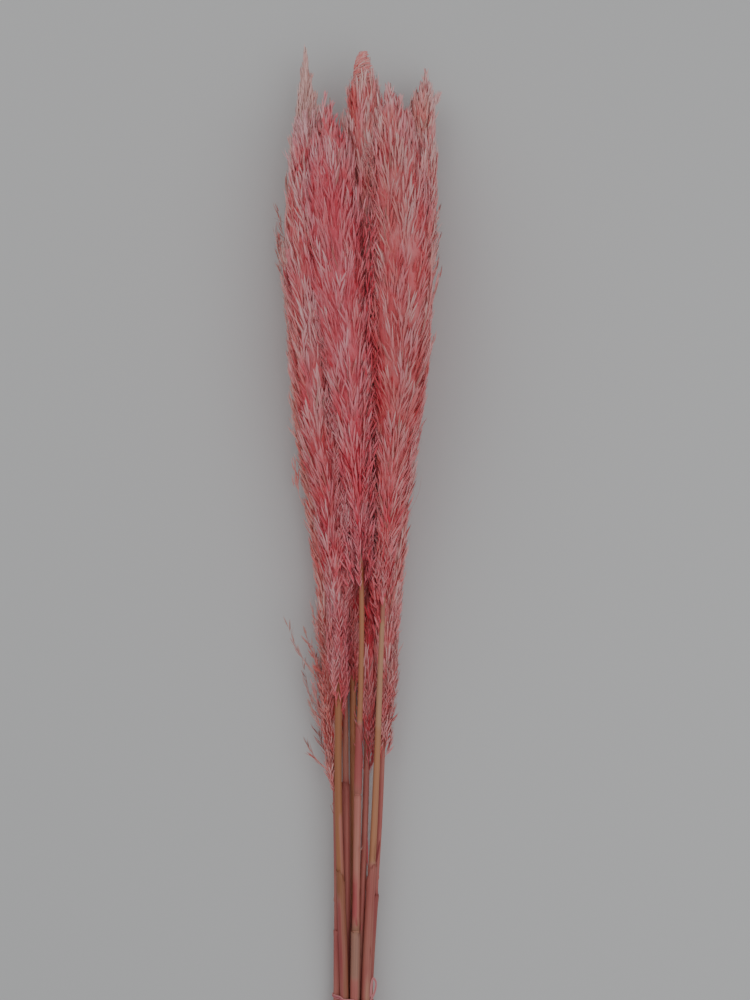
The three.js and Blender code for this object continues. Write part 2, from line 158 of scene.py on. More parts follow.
# The stems. Each is a dried reed with knuckles, and papery leaf sheaths grown round it, which end in torn tops.
# The dye has taken on the sheaths in pink and crimson patches, and left the bare reed straw-coloured.


def skin(name, points, triangles, look, uv=None, normals=None):
    """A mesh of triangles from arrays in millimetres, with a colour attribute at its points that its material
    reads, and, where they are given, a UV map and the normals that it is shaded with, both at its corners."""
    mesh = bpy.data.meshes.new(name)
    mesh.vertices.add(len(points))
    mesh.loops.add(triangles.size)
    mesh.polygons.add(len(triangles))
    mesh.vertices.foreach_set("co", (np.asarray(points) * MM).astype(np.float32).ravel())
    mesh.loops.foreach_set("vertex_index", triangles.astype(np.int32).ravel())
    mesh.polygons.foreach_set("loop_start", np.arange(0, triangles.size, 3, dtype=np.int32))
    mesh.polygons.foreach_set("use_smooth", np.ones(len(triangles), bool))
    mesh.update(calc_edges=True)
    colour = mesh.color_attributes.new("look", "FLOAT_COLOR", "POINT")
    colour.data.foreach_set("color", np.clip(look, 0, 1).astype(np.float32).ravel())
    if uv is not None:
        mesh.uv_layers.new(name="lengthwise").data.foreach_set("uv", uv.astype(np.float32).ravel())
    if normals is not None:
        mesh.normals_split_custom_set(normals.astype(np.float32))
    piece = bpy.data.objects.new(name, mesh)
    bpy.context.scene.collection.objects.link(piece)
    return piece


def tube(points, look, along_it=None, wraps=False):
    """A tube of rings, points[ring, side], as (points, triangles, look, UVs): u is the share of the way round,
    and v is 10 for each metre along. Its last ring goes on into its first where it wraps, or else fans close
    both ends."""
    rings, sides = points.shape[:2]
    i, j = (index.ravel() for index in np.mgrid[: rings if wraps else rings - 1, :sides])
    k, ahead = (j + 1) % sides, (i + 1) % rings
    a, b, c, d = i * sides + j, i * sides + k, ahead * sides + k, ahead * sides + j
    triangles = np.stack([a, b, c, a, c, d], -1).reshape(-1, 3)
    u = np.stack([j, j + 1, j + 1, j, j + 1, j], -1) / sides
    v = (points[..., 1].mean(1) if along_it is None else along_it) * MM * 10
    uv = np.stack([u, v[np.stack([i, i, ahead, i, ahead, ahead], -1)]], -1).reshape(-1, 2)
    if not wraps:
        k = np.arange(1, sides - 1)
        low, high = np.stack([0 * k, k + 1, k], -1), np.stack([0 * k, k, k + 1], -1) + (rings - 1) * sides
        triangles = np.concatenate([triangles, low, high])
        uv = np.concatenate([uv, np.repeat([[0.0, v[0]], [0.0, v[-1]]], 3 * len(k), axis=0)])
    return points.reshape(-1, 3), triangles, look.reshape(-1, 4), uv


def join(parts):
    """Several (points, triangles, look, UVs or normals) as one."""
    starts = np.cumsum([0] + [len(part[0]) for part in parts[:-1]])
    points, triangles, look, corners = zip(*parts)
    triangles = [some + start for some, start in zip(triangles, starts)]
    return [np.concatenate(arrays) for arrays in (points, triangles, look, corners)]


def turns(sides):
    """Even angles all the way round."""
    return np.linspace(0, 2 * np.pi, sides, endpoint=False)


def away(angle, out=1.0):
    """Vectors (out) long, across Y, at an angle from +X towards +Z."""
    x, z = out * np.cos(angle), out * np.sin(angle)
    return np.stack([x, np.zeros_like(x), z], -1)


# Where a stem shows dye, as (from Y, to Y, pink, tone, darkening), and for a patch on one side also its angle
# in degrees from +X and its width in degrees. pink is how much dye there is, and tone runs from cream through
# golden straw to olive brown. darkening mixes the straw towards brown: it is painted shade, heaviest on the
# lower stems. The first row of each stem is the whole of it.
DYE = {
    "front_left": [(-400, 10, 0.12, 0.45, 0.1), (-400, -263, 0.2, 0.08, 0.34),
                   (-400, -300, 0.62, 0.1, 0.15, 120, 70), (-263, -160, 0.5, 0.2, 0),
                   (-262, -224, 0.8, 0.2, 0, 130, 60), (-160, -106, 0.72, 0.35, 0.1),
                   (-8, 10, 0.25, 0.55, 0.1)],
    "left": [(-400, 10, 0.16, 0.75, 0.15), (-400, -216, 0.36, 0.8, 0.45),
             (-330, -240, 0.75, 0.4, 0.35, 160, 60), (-220, -175, 0.5, 0.5, 0.2, 20, 60)],
    "front_right": [(-400, 10, 0.12, 0.4, 0.05), (-400, -212, 0.55, 0.2, 0.33),
                    (-400, -300, 0.3, 0.2, 0.15, 40, 60), (-110, -5, 0.1, 0.24, 0),
                    (-30, -12, 0.35, 0.5, 0.2)],
    "outer_left": [(-400, 10, 0.66, 0.4, 0.14)],
    "centre": [(-400, 10, 0.2, 0.42, 0), (-400, -248, 0.5, 0.5, 0.42)],
    "outer_right": [(-400, 10, 0.6, 0.25, 0.05), (-400, -234, 0.66, 0.3, 0.33)],
    "under_left": [(-400, 10, 0.5, 0.25, 0), (-400, -150, 0.66, 0.45, 0.28)],
    "under_right": [(-400, 10, 0.56, 0.25, 0), (-400, -280, 0.55, 0.4, 0.34)],
}

# Leaf sheaths, as (from Y, to Y, slant of the torn top in millimetres, the side that it is torn down on).
SHEATHS = {
    "front_left": [(-398, -263, 3, 60), (-263, -160.3, 2, 90), (-160, -106, 26, 20)],
    "left": [(-400, -216, 9, 30)],
    "front_right": [(-393, -212, 12, 150)],
    "outer_left": [(-396, -262, 8, 60)],
    "centre": [(-395, -249, 7, 100)],
    "outer_right": [(-397, -235, 10, 120)],
    "under_left": [(-399, -151, 6, 70)],
    "under_right": [(-392, -281, 8, 90)],
}
# Where the knuckles are along Y, before each stem's own shift, and the look of the pith at a cut end.
KNUCKLES = (-355, -232)
PITH = (0.05, 0.0, 0.05, 1)
STEM_SIDES, SHEATH_SIDES = 20, 28


def bell(distance, width):
    """exp(-(distance / width)^2)."""
    return np.exp(-((distance / width) ** 2))


def knuckle_swell(name, y):
    """Each knuckle stands out by 0.35 exp(-(d/1.5)^2), above a groove of 0.2 exp(-((d+2.4)/0.8)^2)."""
    shift = 0.6 * (STALKS[name]["x"][0] + STALKS[name]["cut"] + 400)
    d = y[:, None] - np.array(KNUCKLES) - shift
    return (0.35 * bell(d, 1.5) - 0.2 * bell(d + 2.4, 0.8)).sum(1)


def dye(name, y, angle):
    """Pink, tone and darkening, which is painted shade, at y and an angle: each row replaces the rows before it,
    fading over 5 mm and 25 degrees at its edges."""
    look = np.zeros(np.broadcast(y, angle).shape + (4,))
    for low, high, *amounts in DYE[name]:
        towards, width = amounts[3:] or (90, 360)
        aside = np.abs((np.degrees(angle) - towards + 180) % 360 - 180)
        share = np.clip((y - low) / 5 + 0.5, 0, 1) * np.clip((high - y) / 5 + 0.5, 0, 1)
        share = share * np.clip((width - aside) / 25 + 0.5, 0, 1)
        look[..., :3] += share[..., None] * (np.array(amounts[:3]) - look[..., :3])
    look[..., 3] = 1
    return look


def reed(name, draw):
    """The reed inside: rings of radius r(y), a little oval, from its cut end to the plume, where it goes on as
    the rachis, which thins to 0.3 mm at the plume's tip. The cut end is drawn in over a hollowed pith."""
    s = STALKS[name]
    bare = np.arange(s["cut"], s["base"] + 1, 2.5)
    y = np.concatenate([bare, np.linspace(s["base"] + 4, s["tip"] + s.get("spine", 1), 40)])
    radius = stem_radius(name, y) - 0.28 + knuckle_swell(name, y)
    share = np.clip((y - s["base"]) / (s["tip"] + 1 - s["base"]), 0, 1)
    radius = radius * (1 - share) + 0.3 * share - 0.25 * (share > 0) * np.sin(np.pi * share)
    for low, high, *_ in SHEATHS[name]:
        radius = np.where((y > low + 1) & (y < high - 8), radius - 0.25, radius)
    centre = line(name, y)
    radius = np.concatenate([[0.01, radius[0] * 0.3, radius[0] * 0.72, radius[0] * 0.96], radius, [0.01]])
    centre = np.concatenate([centre[[0, 0, 0, 0]], centre, centre[-1:]])
    centre[:5, 1] += [0.7, 0.65, 0.25, 0.0, 0.05]
    centre[-1, 1] += 0.6
    angle = turns(STEM_SIDES) + draw.random() * 6
    oval = 1 + 0.03 * np.cos(2 * angle + draw.random() * 6)
    look = dye(name, centre[:, 1:2], -angle)
    look[:3] = PITH
    return tube(centre[:, None] + away(-angle, radius[:, None] * oval), look)


def sheath(name, low, high, slant, torn_side, draw):
    """A leaf sheath: a shell 0.3 mm thick, from (low) up to a torn top whose height falls by
    slant (1 + cos(angle - torn side)) / 2 to the power 1.5 plus ragged steps, out along its outer face and back
    down its inner one."""
    angle = turns(SHEATH_SIDES)
    fall = slant * ((1 + np.cos(angle - np.radians(torn_side))) / 2) ** 1.5
    top = high - fall - draw.random(SHEATH_SIDES) * min(slant * 0.35, 3.5)
    rise = np.linspace(0, 1, max(int((high - low) / 6), 4)) ** 0.8
    y = low + 0.4 + (top[None] - low - 0.4) * rise[:, None]
    outer = stem_radius(name, np.minimum(y, high - 3)) + 0.1 * draw.random()
    outer = outer + knuckle_swell(name, y.mean(1))[:, None] * (y < high - 6)
    flare = np.where(slant > 5, 0.5, 0.15) * np.clip((y - top[None] + 9) / 9, 0, 1) ** 2
    outer = outer + flare * (0.6 + 0.4 * np.sin(3 * angle))
    y = np.concatenate([y, y[::-1]])
    out = np.concatenate([outer, outer[::-1] - 0.3])
    return tube(line(name, y) + away(-angle, out), dye(name, y - 1.5, -angle), wraps=True)


# Torn slivers and loose fibres on the stems, as (X, Y and Z of the foot, X, Y and Z of the tip, width, pink,
# tone, darkening towards brown).
SLIVERS = {
    "front_left": [(0.5, -203, 26.4, 3, -198.5, 26.6, 0.7, 0, 0, 0),
                   (-1.5, -262, 21.2, -2.2, -251, 22.2, 1.2, 0.8, 0.2, 0),
                   (1.5, -263, 20.6, 2.4, -257, 20.4, 1.0, 0.8, 0.2, 0)],
    "front_right": [(12.6, -212, 22.5, 15.8, -194, 24.4, 1.5, 0.9, 0.9, 0.7),
                    (8.8, -274, 20.4, 9.7, -285, 19.6, 0.5, 0.8, 0.2, 0),
                    (6.4, -214, 22.6, 6.1, -190, 22.8, 1.3, 0.9, 0.5, 0)],
    "left": [(-18, -162, 22, -20.6, -170, 22.5, 0.5, 0.5, 0.4, 0),
             (-19, -176, 20, -21.8, -168, 21, 0.4, 0.6, 0.4, 0)],
    "outer_right": [(20.5, -96, 20, 23.6, -82, 21, 1.1, 0.6, 0.3, 0)],
}


def oval_rings(middle, sides, wide, across, thick, up):
    """A ring round each point of a line: middle + wide cos(angle) across + thick sin(angle) up."""
    wide, thick = wide * np.cos(turns(sides)), thick * np.sin(turns(sides))
    return middle[:, None] + wide[..., None] * across + thick[..., None] * up


def sliver(foot, tip, width, pink, tone, dirt):
    """A torn strip, as rings of half axes width/2 sin(pi (0.15 + 0.85 t))^0.7 across and a third of that in
    thickness, bowed up by 0.08 of its length."""
    t, run = np.linspace(0, 1, 9)[:, None], tip - foot
    middle = foot + t * run + 0.32 * np.linalg.norm(run) * t * (1 - t) * [0, 0, 1]
    across = np.cross(run, (0, 0, 1.0)) / np.linalg.norm(run)
    half = width / 2 * np.clip(np.sin(np.pi * (0.15 + 0.85 * t)), 0.02, 1) ** 0.7
    half[0] *= 0.05
    points = oval_rings(middle, 6, half, across, -half / 3, [0, 0, 1])
    return tube(points, np.zeros(points.shape[:2] + (4,)) + (pink, tone, dirt, 1))


def feed(tree, node, inputs):
    """Sets each of a node's inputs to a value, or links it to another node's output."""
    for key, value in inputs.items():
        if isinstance(value, bpy.types.NodeSocket):
            tree.links.new(value, node.inputs[key])
        else:
            node.inputs[key].default_value = value
    return node


def shader_node(tree, kind, inputs, **settings):
    """A new node with its settings and its inputs."""
    node = tree.nodes.new("ShaderNode" + kind)
    for key, value in settings.items():
        setattr(node, key, value)
    return feed(tree, node, inputs)


def math(tree, operation, *values):
    """One step of arithmetic on sockets or numbers."""
    return shader_node(tree, "Math", dict(enumerate(values)), operation=operation).outputs[0]


def uneven(tree, level, pattern, amount, mean=0.5):
    """A level shifted up and down by a pattern: level + amount (pattern - mean)."""
    return math(tree, "SUBTRACT", math(tree, "MULTIPLY_ADD", pattern, amount, level), amount * mean)


def drawn_out_noise(tree, scale, detail, share):
    """A noise on Object coordinates, drawn out along Y, where its scale is only a share of that across."""
    place = shader_node(tree, "TexCoord", {}).outputs["Object"]
    place = shader_node(tree, "Mapping", {"Vector": place, "Scale": (1, share, 1)}).outputs[0]
    return shader_node(tree, "TexNoise", {"Vector": place, "Scale": scale, "Detail": detail}).outputs["Fac"]


def ramp(tree, factor, stops):
    """A colour ramp with (place, colour) stops."""
    node = shader_node(tree, "ValToRGB", {0: factor})
    elements = node.color_ramp.elements
    for k, (place, colour) in enumerate(stops):
        element = elements[k] if k < 2 else elements.new(place)
        element.position = place
        element.color = (*colour, 1)
    return node.outputs[0]


def mix(tree, kind, factor, first, second):
    """A mix of two colours by a factor, each a socket or a value."""
    inputs = {"Factor": factor, "A": first, "B": second}
    return shader_node(tree, "Mix", inputs, data_type="RGBA", blend_type=kind).outputs["Result"]


def lengthwise_fibres():
    """The fine ribs of dried grass, as a node group: a noise with Ribs cells round the piece and one for each
    100 mm along it, and a wave round it that adds to the height."""
    group = bpy.data.node_groups.new("lengthwise_fibres", "ShaderNodeTree")
    for name, kind, way in (("UV", "Vector", "INPUT"), ("Ribs", "Float", "INPUT"),
                            ("Streaks", "Float", "OUTPUT"), ("Height", "Float", "OUTPUT")):
        group.interface.new_socket(name, in_out=way, socket_type="NodeSocket" + kind)
    start, end = group.nodes.new("NodeGroupInput").outputs, group.nodes.new("NodeGroupOutput")
    u, v, _ = shader_node(group, "SeparateXYZ", {0: start["UV"]}).outputs
    turn = math(group, "MULTIPLY", u, start["Ribs"])
    place = shader_node(group, "CombineXYZ", {"X": turn, "Y": v}).outputs[0]
    grain = {"Vector": place, "Scale": 1.0, "Detail": 4.0, "Roughness": 0.6}
    streaks = shader_node(group, "TexNoise", grain).outputs["Fac"]
    wave = math(group, "SINE", math(group, "MULTIPLY", turn, 2 * np.pi))
    feed(group, end, {"Streaks": streaks, "Height": math(group, "MULTIPLY_ADD", wave, 0.12, streaks)})
    return group


FIBRES = lengthwise_fibres()


def fibres(tree, ribs, strength, depth):
    """The fibres laid along a piece by its UV map: their streaks, and the normals of their relief."""
    uv = shader_node(tree, "UVMap", {}, uv_map="lengthwise").outputs[0]
    streaks, height = shader_node(tree, "Group", {"UV": uv, "Ribs": ribs}, node_tree=FIBRES).outputs
    relief = {"Height": height, "Strength": strength, "Distance": depth}
    return streaks, shader_node(tree, "Bump", relief).outputs[0]


def dyed_material(name):
    """A new material, with its tree, its shader, and the look attribute's channels as sockets."""
    material = bpy.data.materials.new(name)
    material.use_nodes = True
    tree = material.node_tree
    look = shader_node(tree, "Attribute", {}, attribute_name="look").outputs["Color"]
    channels = shader_node(tree, "SeparateColor", {0: look}).outputs
    return material, tree, tree.nodes["Principled BSDF"], channels


def straw_material():
    """Straw and dye mixed by the look attribute, streaked lengthwise, with a dry satin gloss."""
    material, tree, shader, look = dyed_material("dyed_straw")
    streaks, relief = fibres(tree, 22.0, 0.5, 0.0003)
    tone = ramp(tree, uneven(tree, look["Green"], streaks, 0.5), [
        (0, (0.53, 0.28, 0.235)), (0.25, (0.6, 0.31, 0.18)),
        (0.5, (0.56, 0.215, 0.1)), (1, (0.44, 0.18, 0.08))])
    pink = uneven(tree, look["Red"], drawn_out_noise(tree, 55.0, 3.0, 0.28), 0.7)
    pinks = ramp(tree, pink, [(0.2, (0.58, 0.26, 0.21)), (0.55, (0.6, 0.21, 0.17)), (0.9, (0.5, 0.08, 0.09))])
    taken = ramp(tree, pink, [(0.22, (0, 0, 0)), (0.52, (1, 1, 1))])
    streak = ramp(tree, streaks, [(0.3, (0.72, 0.66, 0.62)), (0.62, (1, 1, 1))])
    colour = mix(tree, "MULTIPLY", 0.8, mix(tree, "MIX", taken, tone, pinks), streak)
    # The third channel darkens the straw towards brown: painted shade, heaviest on the lower stems.
    colour = mix(tree, "MULTIPLY", look["Blue"], colour, (0.45, 0.3, 0.24, 1))
    gloss = shader_node(tree, "MapRange", {"Value": streaks, "To Min": 0.42, "To Max": 0.66}).outputs[0]
    feed(tree, shader, {"Base Color": colour, "Roughness": gloss, "Normal": relief})
    return material


STRAW = straw_material()

for number, name in enumerate(STALKS):
    draw = np.random.default_rng(400 + number)
    parts = [reed(name, draw)] + [sheath(name, *row, draw) for row in SHEATHS[name]]
    parts += [sliver(np.array(row[:3]), np.array(row[3:6]), *row[6:]) for row in SLIVERS.get(name, [])]
    stem = skin("reed_" + name, *join(parts))
    stem.data.materials.append(STRAW)
    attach(stem, "root")
    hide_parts("stem_" + name)


# The plumes. Each is a rachis with some hundreds of fine branches, every branch set with pointed papery
# spikelets in silky hair. They are dyed pink with pale outer tips, and the inside is painted deeper, as
# painted shade where less light reaches into the plume.

# ridge is the side, in degrees from +X, that the branches part on and sweep away from. warm runs from rose to
# salmon orange, and pale is added to the paleness. locks are how many branches there are in the outer layer
# and in the inner one. crown is how far its top leans to the right, how steeply it falls from its peak, and how
# much higher than its rachis it ends.
PLUMES = {
    "front_left": dict(ridge=80, warm=0.1, pale=0.0, locks=(270, 140), crown=(-4, 1.9, -8)),
    "left": dict(ridge=75, warm=0.25, pale=0.06, locks=(260, 130), crown=(0, 0.8, -8)),
    "front_right": dict(ridge=95, warm=0.4, pale=-0.02, locks=(285, 140), crown=(-3, 1.4, -6)),
    "outer_left": dict(ridge=120, warm=0.85, pale=0.18, locks=(270, 140), crown=(0, 3.0, 4)),
    "centre": dict(ridge=90, warm=0.55, pale=0.0, locks=(270, 140), crown=(1.5, 1.5, -1)),
    "outer_right": dict(ridge=55, warm=0.65, pale=0.12, locks=(270, 140), crown=(1, 0.6, -7)),
    "under_left": dict(ridge=250, warm=0.35, pale=0.02, locks=(150, 70), crown=(0, 0.8, 0)),
    "under_right": dict(ridge=290, warm=0.45, pale=0.02, locks=(150, 70), crown=(0, 0.8, 0)),
}


def unit(vectors):
    """Each vector made 1 long."""
    return vectors / np.maximum(np.linalg.norm(vectors, axis=-1, keepdims=True), 1e-9)


# A spikelet's rings, as (share of its length, share of its width), on one with two rings and on one with a
# single ring, how much paler its tip is than its foot, and the least height of any point of it.
LONG, SHORT = ((0.3, 0.5), (0.68, 0.36)), ((0.4, 0.5),)
PALER_TIP = 0.28
LOWEST = 0.3
# The gap at the faces that plumes share, less than nothing, because their locks run in among each other's, and
# the share of its free radius past which a plume counts as free on that side.
OVERLAP = -1.4
FREE = 0.85
GOLDEN_ANGLE = np.pi * (3 - np.sqrt(5))


def bowed(root, run, outward, bow, t):
    """root + t run + 4 bow t (1 - t) outward, for each of several t on each run."""
    rise = (4 * bow[:, None] * t * (1 - t))[..., None]
    return root[:, None] + t[..., None] * run[:, None] + rise * outward[:, None]


def as_one(points, faces, looks, corners):
    """Many like shapes, each with its row of points, as the arrays of one mesh, with none under the surface."""
    points[..., 2] = np.maximum(points[..., 2], LOWEST)
    triangles = faces + points.shape[1] * np.arange(len(points))[:, None, None]
    return points.reshape(-1, 3), triangles.reshape(-1, 3), looks.reshape(-1, 4), unit(corners).reshape(-1, 3)


def spikelets(root, tip, outward, width, bend, look, rings=LONG, soft=0.8):
    """Closed three-sided scales along bowed runs, with rings as (t, share of the width from the axis). Their
    two outer faces are shaded with soft times outward plus their own side, as down is, and not as hard facets,
    and their inner face the other way."""
    size, (t, half) = 2 + 3 * len(rings), np.array(rings).T
    run, turn = tip - root, (np.pi / 2 + np.arange(3) * 2 * np.pi / 3)[:, None]
    across = unit(np.cross(outward, unit(run)))[:, None]
    keel = np.cross(unit(run)[:, None], across)
    side = (np.cos(turn) * across + 0.4 * np.sin(turn) * keel)[:, None]
    ringed = bowed(root, run, outward, bend, t)[:, :, None] + side * (half * width[:, None])[..., None, None]
    points = np.concatenate([root[:, None], ringed.reshape(len(root), size - 2, 3), tip[:, None]], 1)
    normals = np.repeat(soft * unit(outward)[:, None], size, 1)
    normals[:, 1:-1] += np.tile(np.cos(turn) * across + np.sin(turn) * keel, (1, len(rings), 1))
    normals[:, [0, -1]] += keel

    faces = [(k, 0, 1 + (k + 1) % 3, 1 + k) for k in range(3)]
    for first in range(1, size - 4, 3):
        for k, ahead in ((0, 1), (1, 2), (2, 0)):
            a, b = first + k, first + ahead
            faces += [(k, a, b, b + 3), (k, a, b + 3, a + 3)]
    faces = np.array(faces + [(k, size - 4 + k, size - 4 + (k + 1) % 3, size - 1) for k in range(3)])
    corners = normals[:, faces[:, 1:]]
    corners[:, faces[:, 0] == 1] -= (soft + 1) * keel[:, None]
    looks = np.repeat(look[:, None], size, 1)
    looks[..., 0] += PALER_TIP * (np.concatenate([[0], np.repeat(t, 3), [1]]) - 0.5)
    return as_one(points, faces[:, 1:], looks, corners)


def hairs(root, tip, outward, thickness, look, paler=0.12):
    """Closed three-sided cones, as fine as silk, from root to tip, each side shaded with 0.6 of outward."""
    turn = (np.arange(3) * 2 * np.pi / 3)[:, None]
    lengthwise = unit(tip - root)
    across = unit(np.cross(lengthwise, (0.3, 0.1, 0.95)))[:, None]
    side = np.cos(turn) * across - np.sin(turn) * np.cross(across, lengthwise[:, None])
    points = np.concatenate([root[:, None] + thickness[:, None, None] / 2 * side, tip[:, None]], 1)
    normals = np.repeat(0.6 * unit(outward)[:, None], 4, 1)
    normals[:, :3] += side
    faces = np.array([(0, 2, 1), (0, 1, 3), (1, 2, 3), (2, 0, 3)])
    return as_one(points, faces, np.repeat(look[:, None] + [paler, 0, 0, 0], 4, 1), normals[:, faces])


def rachis(name, y):
    """The plume's middle: the stalk's line, that leans aside over its last 70 mm by lean t^2."""
    middle = line(name, y)
    middle[..., 0] += PLUMES[name]["crown"][0] * np.clip((y - STALKS[name]["tip"] + 70) / 70, 0, 1) ** 2
    return middle


def drawn_in(name, y):
    """How much of its reach a plume keeps: 1 - 0.23 exp(-((y - 34) / 90)^2), and on the left side of the bunch
    less 0.2 exp(-((y - 306) / 30)^2) and 0.14 exp(-((y - 190) / 36)^2)."""
    kept = 1 - 0.23 * bell(y - 34, 90)
    if name in ("left", "outer_left"):
        kept = kept - 0.2 * bell(y - 306, 30) - 0.14 * bell(y - 190, 36)
    return kept


def out_from_rachis(name, points):
    """How far points are from the plume's middle, across Y."""
    aside = points - rachis(name, points[..., 1])
    return np.hypot(aside[..., 0], aside[..., 2])


def under_crown(name, points):
    """How far below the crown a point is. The crown falls by slope for each millimetre from the middle."""
    _, slope, higher = PLUMES[name]["crown"]
    return STALKS[name]["tip"] + higher - slope * out_from_rachis(name, points) - points[..., 1]


def held_in(name, points, over, gap, least=0):
    """Points further out than the plume's reach plus over, or than least, are brought in to there, and none is
    lower than 2 mm."""
    middle = rachis(name, points[..., 1])
    aside = points - middle
    out = np.maximum(np.hypot(aside[..., 0], aside[..., 2]), 1e-6)
    most = np.maximum(reach(name, points[..., 1], aside / out[..., None], gap) + over, least)
    held = middle + aside * np.minimum(1, most / out)[..., None]
    held[..., 2] = np.maximum(held[..., 2], 2)
    return held


def branch_roots(name, count, draw):
    """Where the branches leave the rachis: closer together where the plume is fuller, at golden angles."""
    s = STALKS[name]
    y = np.linspace(s["base"], s["tip"] - 10, 600)
    weight = np.cumsum(0.32 * s["radius"] + free_radius(name, y + 30))
    root = np.interp((np.arange(count) + draw.random(count)) / count, weight / weight[-1], y)
    return root, np.arange(count) * GOLDEN_ANGLE + draw.normal(0, 0.12, count)


# Where the dye took unevenly over the bunch, and where the bunch is painted lighter or darker for light and
# shade, as (X, Y, half width, half length, paler, warmer, browner). The browner patches are painted shade, the
# deep narrow patches at X 14, X 8 and X -3 are painted shade in the grooves between the plumes, and the paler
# patches low down at Y -60 and Y -70 are painted light.
PATCHES = [
    (34, 140, 20, 120, 0, 0, 0.19), (30, 290, 14, 50, 0, 0, 0.14), (-18, 290, 14, 50, 0, 0, 0.07),
    (-34, 30, 16, 80, 0, 0, 0.11), (-30, 170, 24, 90, 0, 0, 0.06), (-14, 200, 14, 90, 0, 0, 0.05),
    (0, 180, 80, 110, 0, 0, 0.06), (-18, 274, 8, 24, -0.26, -0.2, 0), (-3, 352, 3.5, 14, -0.5, 0.1, 0),
    (14, 146, 4, 45, -0.4, -0.1, 0), (-44, 135, 4, 60, -0.12, 0.5, 0), (49, 343, 5, 11, -0.12, 0.5, 0),
    (24, 333, 5, 8, -0.18, 0.4, 0), (8, -25, 5, 30, -0.25, -0.1, 0), (-27, -100, 10, 45, -0.22, 0.1, 0),
    (-48, 265, 5, 32, -0.04, 0.35, 0), (20, 300, 10, 48, 0.08, 0, 0), (-42, 338, 9, 20, 0.24, -0.1, 0),
    (-12, 200, 6, 40, -0.1, -0.2, 0), (52, 180, 5, 60, 0.06, 0.1, 0), (-25, 30, 24, 70, -0.04, -0.05, 0),
    (10, 30, 14, 40, -0.04, -0.05, 0), (2, 386, 15, 22, 0.7, 0.2, 0), (26, 350, 9, 18, 0.14, -0.1, 0),
    (51, 366, 10, 16, 0.2, -0.1, 0), (-41, 370, 9, 34, 0.4, 0.1, 0), (-50, 250, 8, 60, 0.1, 0, 0),
    (34, -60, 12, 60, 0.14, 0, 0), (-36, -70, 12, 70, 0.1, 0.1, 0), (22, 30, 10, 40, 0.1, 0, 0),
    (34, 140, 12, 50, -0.05, 0, 0), (-34, 20, 14, 60, -0.08, 0, 0), (-20, 310, 14, 30, -0.04, 0, 0),
    (-26, 330, 8, 22, 0.06, 0.1, 0), (40, 232, 8, 22, 0.14, 0, 0), (-38, 25, 5, 50, -0.1, 0.45, 0),
    (33, 170, 8, 24, 0.1, 0, 0), (0, 345, 90, 55, 0.2, 0.05, 0), (50, 335, 9, 30, 0.1, 0, 0),
]


def as_look(paleness, warmth, dust):
    """Three values for each point, as the colour attribute that the material reads."""
    return np.stack(np.broadcast_arrays(paleness, warmth, dust, 1.0), -1)


def dye_and_shade_patches(points, look):
    """Adds every patch, whether uneven dye or painted light and shade, to the look of the points, by the share
    exp(-(dx / half width)^2 - (dy / half length)^2) that a point has of it."""
    look = look.copy()
    for x, y, half_width, half_length, *amounts in PATCHES:
        share = np.exp(-(((points[..., 0] - x) / half_width) ** 2) - ((points[..., 1] - y) / half_length) ** 2)
        look[..., :3] += share[..., None] * amounts
    return look


def plume_core(name):
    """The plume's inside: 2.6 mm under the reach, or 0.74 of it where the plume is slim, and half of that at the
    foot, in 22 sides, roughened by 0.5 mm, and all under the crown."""
    s = STALKS[name]
    _, slope, higher = PLUMES[name]["crown"]
    y = np.linspace(s["base"] + 4, s["tip"] - 0.05 * (s["tip"] - s["base"]), 70)
    y, angle = np.meshgrid(y, -turns(22), indexing="ij")
    limit = reach(name, y, away(angle)) * drawn_in(name, y)
    out = np.maximum(limit - 2.6, 0.74 * limit) * np.clip(0.5 + (y - s["base"]) / 90, 0, 1)
    out += 0.5 * np.sin(y * 0.9 + 3 * angle)
    out = np.minimum(out, np.maximum((s["tip"] + higher - y) / slope - 9, 0.6))
    out[[0, -1]] = 0.05
    points = rachis(name, y) + away(angle, out)
    points[..., 2] = np.maximum(points[..., 2], 0.4)
    look = dye_and_shade_patches(points, as_look(0.36, PLUMES[name]["warm"], 0 * y))
    points, triangles, look, _ = tube(points, look)
    return points, triangles, look, away(angle).reshape(-1, 3)[triangles.ravel()]


